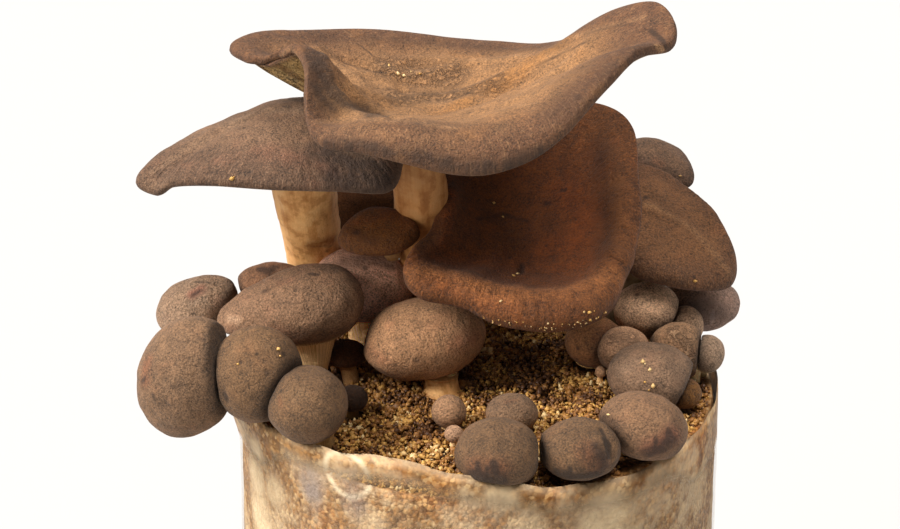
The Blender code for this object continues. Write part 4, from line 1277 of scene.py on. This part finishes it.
def stem_material():
    """Pale fibrous flesh, darker and dirtier towards the foot, with painted shade at the top under the cap.
    """
    paint = Paint("stem_flesh", Roughness=0.68, Specular_IOR_Level=0.35)
    out = paint.attribute("out")
    fibres, strands = paint.streaks(3.0, 1.8, 2.0), paint.streaks(30.0, 5.0, 3.0)
    mottle, dirt = paint.grain(3.6, 4.0, 0.6), paint.grain(1.1, 3.0, 0.65)
    colour = paint.mix(fibres.rise(0.40, 0.66) * 0.8, (0.80, 0.54, 0.28), (0.52, 0.28, 0.105))
    colour = paint.mix(mottle.rise(0.46, 0.64) * 0.7, colour, (0.84, 0.62, 0.36))
    colour = paint.mix(mottle.rise(0.48, 0.34) * 0.6, colour, (0.42, 0.21, 0.072))
    foot = out.rise(0.30, 0.0)
    reddened = (paint.attribute("ruddy") * (mottle + dirt)).rise(0.1, 0.8)
    colour = paint.mix(reddened, colour, (0.27, 0.12, 0.034))
    colour = paint.mix(foot * 0.55, colour, (0.26, 0.135, 0.056))
    marked = (paint.attribute("dark") * (mottle + dirt)).rise(0.2, 0.7)
    colour = paint.mix((dirt.rise(0.60, 0.68) * foot).most(marked) * 0.9, colour, (0.045, 0.024, 0.010))
    # out.rise(0.55, 1.0) paints shade on the top of the stem, under its cap.
    colour = paint.tone(colour, 0.90 + strands * 0.12 + dirt * 0.26 - out.rise(0.55, 1.0) * 0.45)
    # The piece's level and leaning: its own tone, with painted light and shade.
    colour = paint.vector("MULTIPLY", colour, paint.attribute("tint", "Vector"))
    normal = paint.bump((fibres, 0.15), (strands, 0.04), (mottle, 0.3), (dirt, 0.2))
    return paint.finish(Base_Color=colour, Normal=normal)


# Seen through the film: what the threads have done to the grain, by pixel, reach in millimetres and strength.
CLOUDS = [
    ((262, 448), 4.0, 0.80), ((258, 478), 5.5, 0.90), ((276, 492), 4.5, 0.70), ((262, 515), 7.0, 0.90),
    ((372, 524), 4.0, 0.50), ((500, 497), 4.0, 0.75), ((604, 520), 7.5, 0.80), ((530, 528), 4.0, 0.60),
]
HAZES = [((311, 480), 4.0, 0.9), ((314, 497), 3.0, 0.7), ((356, 505), 3.4, 0.7), ((352, 478), 3.6, 0.5)]
GOLDS = [
    ((392, 478), 5.0, 0.8), ((440, 498), 5.0, 0.8), ((655, 480), 7.0, 0.9), ((480, 520), 5.0, 0.6),
    ((560, 492), 5.0, 0.7), ((690, 440), 7.0, 0.9), ((325, 520), 4.0, 0.6),
]
RING = ((348, 473), 5.6, 1.2, 0.7)  # a ring of threads: the pixel of its middle, radius, width and strength
CRUMB_SIZE = 1.0
CRUMB_WARP = (0.8, 0.9)  # the size of the bends in the crumbs' outlines, and how far they bend


def crumb_colour(paint):
    """Packed crumbs of grain, each its own brown, some of them cream, and the dark gaps between them."""
    bend, reach = CRUMB_WARP
    warp = paint.add("ShaderNodeTexNoise", {}, {"Vector": paint.place, "Scale": 1 / (bend * MM)}, "Color")
    bent_place = paint.vector("ADD", paint.place, paint.tone(warp, reach * MM))
    cells = {"Vector": bent_place, "Scale": 1 / (CRUMB_SIZE * MM)}
    chance = paint.add("ShaderNodeTexVoronoi", {}, cells, "Color")
    cell = paint.add("ShaderNodeSeparateColor", {}, {0: chance}, 0)
    gaps = paint.add("ShaderNodeTexVoronoi", {}, cells, "Distance")
    blotch, fine = paint.grain(6.0, 3.0, 0.6), paint.grain(1.6, 3.0, 0.6)
    colour = paint.mix(cell.rise(0.0, 0.7), (0.13, 0.051, 0.012), (0.38, 0.178, 0.048))
    colour = paint.mix(cell.rise(0.70, 0.95), colour, (0.52, 0.33, 0.150))
    colour = paint.mix(blotch.rise(0.42, 0.66) * 0.7, colour, (0.20, 0.085, 0.022))
    colour = paint.mix(fine.rise(0.50, 0.72) * 0.5, colour, (0.54, 0.35, 0.155))
    return paint.mix(gaps.rise(0.42, 0.88) * 0.6, colour, (0.090, 0.038, 0.013)), gaps


def soft_patches(paint, patches):
    """Soft round patches on the side of the substrate, added up."""
    total = 0
    for pixel, reach, strength in patches:
        total = paint.near(side_place(pixel), reach) * strength + total
    return total


def side_colour(paint):
    """The crumbs as they are seen through the film, with pale threads in clouds and a ring. Gives also the
    gaps between the crumbs, and the wisps of the threads."""
    colour, gaps = crumb_colour(paint)
    clouds, wisps = paint.grain(17.0, 4.0, 0.62), paint.grain(2.6, 3.0, 0.6)
    deeper = paint.vector("MULTIPLY", colour, (1.15, 0.82, 0.42))
    colour = paint.mix(soft_patches(paint, GOLDS) * (0.2 + wisps * 1.2), colour, deeper)
    seen = (clouds + wisps * 0.4 - 0.20).rise(0.46, 0.66) * 0.55
    for pixel, reach, strength in CLOUDS:
        seen = seen.most(paint.near(side_place(pixel), reach) * strength * (0.35 + wisps * 1.3))
    colour = paint.mix(seen, colour, (0.70, 0.53, 0.32))
    centre, radius, width, strength = RING
    ring = paint.ring(side_place(centre), radius, width) * strength * (0.5 + wisps)
    colour = paint.mix(ring.most(0.0), colour, (0.82, 0.68, 0.46))
    haze = soft_patches(paint, HAZES) * (0.4 + wisps * 0.8)
    return paint.mix(haze, colour, (0.250, 0.190, 0.160)), gaps, wisps


def substrate_material():
    """Spawned grain: each crumb its own brown, and pale threads in clouds down the side."""
    paint = Paint("substrate_grain", Roughness=0.62, Specular_IOR_Level=0.3)
    colour, gaps, wisps = side_colour(paint)
    loose = paint.mix(gaps.rise(0.2, 0.7), (0.17, 0.070, 0.018), (0.030, 0.012, 0.004))
    colour = paint.mix(paint.attribute("side"), loose, colour)
    return paint.finish(Base_Color=colour, Normal=paint.bump((1 - gaps, 0.4), (wisps, 0.4)))


def grain_material():
    """Loose grains of substrate, each with its own tone from cream to dark brown."""
    paint = Paint("loose_grain", Roughness=0.50, Specular_IOR_Level=0.4)
    tone, mottle = paint.attribute("tone"), paint.grain(0.5, 2.0)
    colour = paint.mix(tone.rise(0.0, 0.45), (0.070, 0.025, 0.006), (0.275, 0.116, 0.025))
    colour = paint.mix(tone.rise(0.45, 0.85), colour, (0.56, 0.31, 0.077))
    colour = paint.mix(tone.rise(0.88, 1.0), colour, (0.74, 0.54, 0.27))
    colour = paint.tone(colour, 0.60 + mottle * 0.8)
    return paint.finish(Base_Color=colour, Normal=paint.bump((mottle, 0.2)))


def film_material(alpha):
    """Thin clear film, misty in places, with a gloss and fine wrinkles. Crumbs stick to it up to the rim."""
    paint = Paint("clear_film", Roughness=0.42, IOR=1.5, Specular_IOR_Level=0.1)
    mist, wrinkles = paint.grain(16.0, 3.0, 0.6), paint.grain(4.0, 3.0, 0.6)
    rim, lip = paint.attribute("rim"), paint.attribute("lip")
    crumbs, _, _ = side_colour(paint)
    stuck = paint.mix(mist.rise(0.45, 0.60) * 0.2, crumbs, (0.44, 0.31, 0.17))
    colour = paint.mix(mist.rise(0.35, 0.65), (0.26, 0.185, 0.105), (0.48, 0.38, 0.26))
    colour = paint.mix(rim, colour, stuck)
    colour = paint.mix(lip * 0.4, colour, (0.60, 0.46, 0.30))
    clear = (alpha * (0.35 + mist * 1.3)).most(rim * 0.88)
    return paint.finish(Base_Color=colour, Alpha=clear, Normal=paint.bump((wrinkles, 0.6)))


# Substrate, grains and film.


def add_substrate(material):
    """The plug of grain: over its domed top, down its side and in under its base."""
    dome, wall, under = SUBSTRATE_ROWS
    data, row, turn = sphere_mesh("substrate_look", SUBSTRATE_COLUMNS, dome + wall + under)
    base = FILM + GAP
    on_dome = SUBSTRATE_RADIUS * np.minimum(row / dome, 1)
    down = np.clip((row - dome) / wall, 0, 1)
    inwards = np.clip((row - dome - wall) / under, 0, 1)
    corner = smooth(0.94, 1.0, down) * SUBSTRATE_CORNER
    height = SUBSTRATE_EDGE + (base - SUBSTRATE_EDGE) * down
    wide = film_reach(turn, height, rim_height(turn)) - SEEN_FILM - GAP
    on_wall = wide * smooth(0, 0.03, down) + SUBSTRATE_RADIUS * smooth(0.03, 0, down)
    beneath = (SUBSTRATE_RADIUS - SUBSTRATE_CORNER) * (1 - inwards)
    radius = np.where(row >= dome, on_wall, on_dome)
    radius = np.where(row <= dome + wall, radius - corner, beneath)
    points = ring_points(np.zeros(3), (0.0, 0.0, 1.0), radius, turn)
    top = substrate_top(points[:, 0], points[:, 1])
    points[:, 2] = np.where(row <= dome, top, height)
    write_points(data, points * MM)
    rough = relief(points, SUBSTRATE_RELIEF) - SUBSTRATE_SINK
    on_top = smooth(dome - 1, dome - 4, row)
    on_side = (row > dome) & (row <= dome + wall)
    raise_surface(data, rough * on_top + on_side * (relief(points, SIDE_RELIEF) - SIDE_SINK))
    write_attribute(data, "side", smooth(dome - 3, dome, row))
    add_piece(data, material, "grain", "substrate")


def stone_copies(name, count):
    """A mesh of so many copies of one small chip, with the corners of each."""
    mesh = bmesh.new()
    bmesh.ops.create_uvsphere(mesh, u_segments=4, v_segments=2, radius=STONE_RADIUS)
    data = bpy.data.meshes.new("stone")
    mesh.to_mesh(data)
    mesh.free()
    stone = bpy.data.objects.new("stone", data)
    bpy.context.scene.collection.objects.link(stone)
    copies = stone.modifiers.new("Copies", "ARRAY")
    copies.count = count
    copies.relative_offset_displace = (0, 0, 0)
    grains = bpy.data.meshes.new_from_object(stone.evaluated_get(bpy.context.evaluated_depsgraph_get()))
    grains.name = name
    bpy.data.objects.remove(stone)
    return grains, read_points(grains).reshape(count, -1, 3)


def turned_stone(corners, size, chance):
    """One stone's corners, turned and stretched."""
    turn = Euler([chance.uniform(0, TAU) for _ in range(3)]).to_matrix()
    size = size * math.exp(chance.gauss(0, STONE_SPREAD))
    return corners * [size * chance.uniform(*STONE_STRETCH) for _ in range(3)] @ np.array(turn)


def add_grains(count, size, material):
    """Loose grains on the substrate, each turned, stretched and sunk in a little, but not under a button."""
    chance = random.Random(3)
    grains, corners = stone_copies("loose_grains", count)
    tones = np.empty(count)
    balls = [(spec[0], spec[1]) for spec in BUTTONS.values()]
    least, spread, share = GRAIN_TONE
    for index in range(count):
        hidden = True
        while hidden:
            reach = (SUBSTRATE_RADIUS - GRAIN_MARGIN) * math.sqrt(chance.random())
            angle = TAU * chance.random()
            x, y = reach * math.cos(angle), reach * math.sin(angle)
            hidden = any(((x - c[0]) / r[0]) ** 2 + ((y - c[1]) / r[1]) ** 2 < HIDDEN for c, r in balls)
        lift = chance.uniform(*GRAIN_LIFT)
        corners[index] = turned_stone(corners[index], size, chance) + (x, y, substrate_top(x, y) + lift)
        patch = noise.noise(Vector((x, y, 0)) / PATCH_SIZE)
        # Painted light and shade: lighter at the front, darker under cap_middle.
        for lighter, (middle_x, middle_y), (wide, deep) in GRAIN_LIGHT_AND_SHADE:
            patch += lighter * math.exp(-(((x - middle_x) / wide) ** 2) - ((y - middle_y) / deep) ** 2)
        tones[index] = min(1, max(0, least + spread * chance.random() + share * patch))
    write_points(grains, corners.reshape(-1, 3) * MM)
    write_attribute(grains, "tone", np.repeat(tones, corners.shape[1]))
    add_piece(grains, material, "grain")


def add_crumbs(places, material):
    """Grains that stick to the mushrooms, each sunk a little into its place."""
    chance = random.Random(5)
    crumbs, corners = stone_copies("loose_crumbs", len(places))
    for index, (place, normal, size) in enumerate(places):
        sunk = place + np.array(normal) * size * CRUMB_LIFT
        corners[index] = turned_stone(corners[index], size, chance) + sunk
    write_points(crumbs, corners.reshape(-1, 3) * MM)
    tones = [chance.uniform(*CRUMB_TONE) for _ in places]
    write_attribute(crumbs, "tone", np.repeat(tones, corners.shape[1]))
    add_piece(crumbs, material, "grain")


def add_film(material):
    """The film as a cup over a sphere's rows: inner base, up the inside, over the rim, down the outside."""
    floor_rows, wall_rows = FILM_ROWS
    rows = 2 * (floor_rows + wall_rows)
    data, row, turn = sphere_mesh("bag_look", FILM_COLUMNS, rows)
    inside = row <= rows / 2
    step = np.where(inside, row, rows - row)
    t = np.clip((step - floor_rows) / wall_rows, 0, 1)
    at, wide, up = PEAK
    top = rim_height(turn) + up * np.exp(-(((turn - at) / wide) ** 2))
    wave, fast, slow = RIM_WAVE
    top = top + wave * np.sin(TAU * turn * fast) * np.sin(TAU * turn * slow + 1)
    height = BASE_ROUND + (top - BASE_ROUND) * t
    radius = film_reach(turn, height, top) - SEEN_FILM * inside
    corner = np.minimum(step / floor_rows, 1)
    radius = np.where(step < floor_rows, (BAG_RADIUS - BASE_ROUND) * corner, radius)
    round_in = smooth(BASE_ROUND * 2, BASE_ROUND, height) * (step >= floor_rows)
    radius = radius - round_in * BASE_ROUND * 0.5 * (1 - t * 10).clip(0, 1)
    points = ring_points(np.zeros(3), (0.0, 0.0, 1.0), radius, turn)
    height_there = np.where(step < floor_rows, 0, np.where(step == floor_rows, BASE_RING, height))
    points[:, 2] = height_there + SEEN_FILM * inside
    write_points(data, points * MM)
    deeper, near, far = RIM_SIDES
    deep = deeper * smooth(near, far, np.abs(points[:, 0]))
    start, full = RIM_BAND
    not_pole = (row > 0) * (row < rows)
    write_attribute(data, "rim", smooth(start + deep, full + deep, top - height) * not_pole)
    write_attribute(data, "lip", smooth(*LIP_BAND, top - height) * not_pole)
    add_piece(data, material, "film", "bag")


# Places seen in the photograph.


def camera_frame():
    """Where the camera stands, and its right, up and forward directions."""
    forward = np.array([0.0, math.cos(CAMERA_PITCH), -math.sin(CAMERA_PITCH)])
    upward = np.array([0.0, math.sin(CAMERA_PITCH), math.cos(CAMERA_PITCH)])
    return np.array(LOOK_AT) - forward * CAMERA_DISTANCE, np.array([1.0, 0.0, 0.0]), upward, forward


def seen_ray(pixel):
    """Where the camera stands, and its direction to a pixel of the photograph."""
    place, right, upward, forward = camera_frame()
    across, down = pixel[0] - PHOTO_SIZE[0] / 2, pixel[1] - PHOTO_SIZE[1] / 2
    return place, unit(forward * FOCAL_PIXELS + right * across - upward * down)


def side_place(pixel):
    """Where the ray through a pixel meets the side of the substrate, a cylinder."""
    place, ray = seen_ray(pixel)
    square, half = ray[:2] @ ray[:2], place[:2] @ ray[:2]
    rest = place[:2] @ place[:2] - SUBSTRATE_RADIUS**2
    return place + ray * (-half - math.sqrt(half * half - square * rest)) / square


def surface_tree(data):
    """The piece's surface, in millimetres, for rays to meet."""
    faces = [tuple(face.vertices) for face in data.polygons]
    return BVHTree.FromPolygons((read_points(data) / MM).tolist(), faces)


def first_met(tree, pixel):
    """Where the ray through a pixel first meets the surface, and the way out from it, or None twice."""
    place, ray = seen_ray(pixel)
    return tree.ray_cast(Vector(place), Vector(ray))[:2]


def seen_place(tree, pixel):
    """The same for a pixel that has to show the piece."""
    place, normal = first_met(tree, pixel)
    if place is None:
        raise ValueError(f"the piece is not seen at pixel {tuple(pixel)}")
    return np.array(place), normal


def seen_path(tree, pixels):
    """The way over the surface that passes some pixels, in short steps."""
    steps = [pixels[0]]
    for start, end in zip(pixels, pixels[1:]):
        count = math.ceil(math.dist(start, end) / MARK_STEP)
        steps += [np.add(start, np.subtract(end, start) * (step + 1) / count) for step in range(count)]
    return [seen_place(tree, pixel)[0] for pixel in steps]


def path_distance(points, path):
    """How far each point is from a path of places."""
    if len(path) == 1:
        return np.linalg.norm(points - path[0], axis=1)
    return np.min([segment_distance(points, *ends)[0] for ends in zip(path, path[1:])], axis=0)


def mark_piece(name, marks):
    """Writes a piece's stains, painted shade and painted highlights as attributes, and raises its ridges
    and grooves.
    """
    data = bpy.data.meshes[name + "_look"]
    tree, points = surface_tree(data), read_points(data) / MM
    layers = {kind: np.zeros(len(points)) for kind in ("dark", "ruddy", "pale", "rough", "rise")}
    for kind, pixels, width, strength in marks:
        weight = strength * np.exp(-((path_distance(points, seen_path(tree, pixels)) / width) ** 2))
        layers[kind] = layers[kind] + weight if kind == "rise" else np.maximum(layers[kind], weight)
    raise_surface(data, layers.pop("rise"))
    for kind, layer in layers.items():
        write_attribute(data, kind, layer)


def crumb_places():
    """Where each crumb lies on its mushroom, the way out from it there, and its size."""
    chance = random.Random(11)
    places = []
    for name, crumbs in CRUMBS.items():
        tree = surface_tree(bpy.data.meshes[name + "_look"])
        places += [(*seen_place(tree, pixel), size) for pixel, size in crumbs]
    tree = surface_tree(bpy.data.meshes["cap_middle_look"])
    while len(places) < EDGE_CRUMBS + sum(map(len, CRUMBS.values())):
        part = chance.randrange(len(CRUMB_EDGE) - 1)
        pixel = Vector(CRUMB_EDGE[part]).lerp(CRUMB_EDGE[part + 1], chance.random())
        pixel.y += chance.uniform(*EDGE_DRIFT)
        place, normal = first_met(tree, pixel)
        if place is not None:
            places.append((np.array(place), normal, chance.uniform(*EDGE_CRUMB_SIZE)))
    return places


# Floor, lights and camera.


def add_floor(colour):
    mesh = bmesh.new()
    bmesh.ops.create_grid(mesh, x_segments=1, y_segments=1, size=FLOOR_SIZE / 2)
    data = bpy.data.meshes.new("floor")
    mesh.to_mesh(data)
    mesh.free()
    paint = Paint("floor", Roughness=0.9, Emission_Strength=FLOOR_GLOW)
    paint.shader.inputs["Base Color"].default_value = (*colour, 1.0)
    paint.shader.inputs["Emission Color"].default_value = (1.0, 1.0, 1.0, 1.0)
    data.materials.append(paint.material)
    floor = bpy.data.objects.new("floor", data)
    bpy.context.scene.collection.objects.link(floor)


def add_light(name, energy, around_degrees, up_degrees):
    light = bpy.data.lights.new(name, "SUN")
    light.energy = energy
    light.angle = math.radians(LIGHT_WIDTH)
    light.color = LIGHT_COLOUR
    lamp = bpy.data.objects.new(name, light)
    lamp.rotation_euler = (math.pi / 2 - math.radians(up_degrees), 0, math.radians(around_degrees))
    bpy.context.scene.collection.objects.link(lamp)


def add_camera(scene):
    data = bpy.data.cameras.new("camera")
    data.sensor_width = SENSOR
    data.lens = FOCAL_PIXELS * SENSOR / PHOTO_SIZE[0]
    camera = bpy.data.objects.new("camera", data)
    camera.location = camera_frame()[0] * MM
    camera.rotation_euler = (math.pi / 2 - CAMERA_PITCH, 0, 0)
    scene.collection.objects.link(camera)
    scene.camera = camera


# Settings, operators and panel.


def strength_property(name, description, default):
    return FloatProperty(name=name, description="Strength of " + description, default=default, min=0)


class GrowBagFilm(bpy.types.PropertyGroup):
    alpha: FloatProperty(name="Mist", description="How much the film hides", default=0.08, min=0, max=1)
    grain_size: FloatProperty(
        name="Grain size", description="Mean size of a loose grain, in millimetres", default=0.86, min=0.2
    )
    grain_count: IntProperty(name="Grains", description="Loose grains on the substrate", default=19000, min=1)


class GrowBagStudio(bpy.types.PropertyGroup):
    floor: FloatVectorProperty(
        name="Floor", description="Colour of the floor", subtype="COLOR", default=(0.36, 0.36, 0.36),
        min=0, max=1,
    )
    key: strength_property("Key light", "the main light, from the left", 5.5)
    low: strength_property("Low light", "the low light in front", 1.0)
    high: strength_property("High light", "the high light, from the right", 3.6)
    fill: strength_property("Fill light", "the light from all round", 0.18)


class GROWBAG_OT_film(bpy.types.Operator):
    """Adds the film bag"""

    bl_idname = "growbag.film"
    bl_label = "Film bag"

    def execute(self, context):
        add_film(film_material(context.scene.growbag_film.alpha))
        return {"FINISHED"}


class GROWBAG_OT_substrate(bpy.types.Operator):
    """Adds the substrate and its loose grains"""

    bl_idname = "growbag.substrate"
    bl_label = "Substrate"

    def execute(self, context):
        settings = context.scene.growbag_film
        add_substrate(substrate_material())
        add_grains(settings.grain_count, settings.grain_size, grain_material())
        return {"FINISHED"}


class GROWBAG_OT_caps(bpy.types.Operator):
    """Adds the open caps with their gills"""

    bl_idname = "growbag.caps"
    bl_label = "Caps"

    def execute(self, context):
        for name, cap in CAPS.items():
            add_cap(name, cap, skin(cap["finish"]))
        return {"FINISHED"}


class GROWBAG_OT_stems(bpy.types.Operator):
    """Adds the stems"""

    bl_idname = "growbag.stems"
    bl_label = "Stems"

    def execute(self, context):
        material = stem_material()
        for name, (cap_name, foot, foot_radius) in STEMS.items():
            cap = CAPS[cap_name]
            axis = unit(cap["axis"])
            top = np.array(cap["pole"]) - axis * cap["thickness"][0]
            add_stem(name, foot, foot_radius, top, axis, cap["stem_radius"], material)
        foot, _, foot_radius, top_radius = FRONT_STEM
        up = np.array([0.0, 0.0, 1.0])
        add_stem("stem_front", foot, foot_radius, front_stem_top(), up, top_radius, material)
        return {"FINISHED"}


class GROWBAG_OT_buttons(bpy.types.Operator):
    """Adds the round young mushrooms"""

    bl_idname = "growbag.buttons"
    bl_label = "Buttons"

    def execute(self, context):
        planes = contact_planes()
        for name, spec in BUTTONS.items():
            add_button(name, spec, planes[name], skin(spec[-1]))
        add_front_cap(planes["cap_front"], skin("taupe"))
        return {"FINISHED"}


class GROWBAG_OT_marks(bpy.types.Operator):
    """Marks the mushrooms with their scars, stains, creases, painted shade and painted highlights, and
    strews crumbs on them
    """

    bl_idname = "growbag.marks"
    bl_label = "Marks and crumbs"

    def execute(self, context):
        for name, marks in MARKS.items():
            mark_piece(name, marks)
        add_crumbs(crumb_places(), bpy.data.materials["loose_grain"])
        return {"FINISHED"}


class GROWBAG_OT_studio(bpy.types.Operator):
    """Adds the floor, the light and the camera"""

    bl_idname = "growbag.studio"
    bl_label = "Studio"

    def execute(self, context):
        studio, scene = context.scene.growbag_studio, context.scene
        add_floor(studio.floor)
        for name, place in LIGHTS.items():
            add_light(name, getattr(studio, name), *place)
        world = bpy.data.worlds.new("studio")
        world.use_nodes = True
        background = world.node_tree.nodes["Background"]
        background.inputs["Color"].default_value = FILL_COLOUR
        background.inputs["Strength"].default_value = studio.fill
        scene.world = world
        scene.view_settings.view_transform = "Standard"
        add_camera(scene)
        return {"FINISHED"}


OPERATORS = (
    GROWBAG_OT_film,
    GROWBAG_OT_substrate,
    GROWBAG_OT_caps,
    GROWBAG_OT_stems,
    GROWBAG_OT_buttons,
    GROWBAG_OT_marks,
    GROWBAG_OT_studio,
)


class GROWBAG_PT_panel(bpy.types.Panel):
    """Lists the settings and the pieces"""

    bl_idname = "GROWBAG_PT_panel"
    bl_label = "Grow bag"
    bl_space_type = "VIEW_3D"
    bl_region_type = "UI"
    bl_category = "Grow bag"

    def draw(self, context):
        for settings in (context.scene.growbag_film, context.scene.growbag_studio):
            for name in settings.__annotations__:
                self.layout.prop(settings, name)
        for operator in OPERATORS:
            self.layout.operator(operator.bl_idname)


CLASSES = (GrowBagFilm, GrowBagStudio, *OPERATORS, GROWBAG_PT_panel)


def register():
    for item in CLASSES:
        bpy.utils.register_class(item)
    bpy.types.Scene.growbag_film = PointerProperty(type=GrowBagFilm)
    bpy.types.Scene.growbag_studio = PointerProperty(type=GrowBagStudio)


def unregister():
    del bpy.types.Scene.growbag_film
    del bpy.types.Scene.growbag_studio
    for item in reversed(CLASSES):
        bpy.utils.unregister_class(item)


def main():
    register()
    bpy.ops.growbag.film()
    bpy.ops.growbag.substrate()
    bpy.ops.growbag.caps()
    bpy.ops.growbag.stems()
    bpy.ops.growbag.buttons()
    bpy.ops.growbag.marks()
    bpy.ops.growbag.studio()


if __name__ == "__main__":
    main()
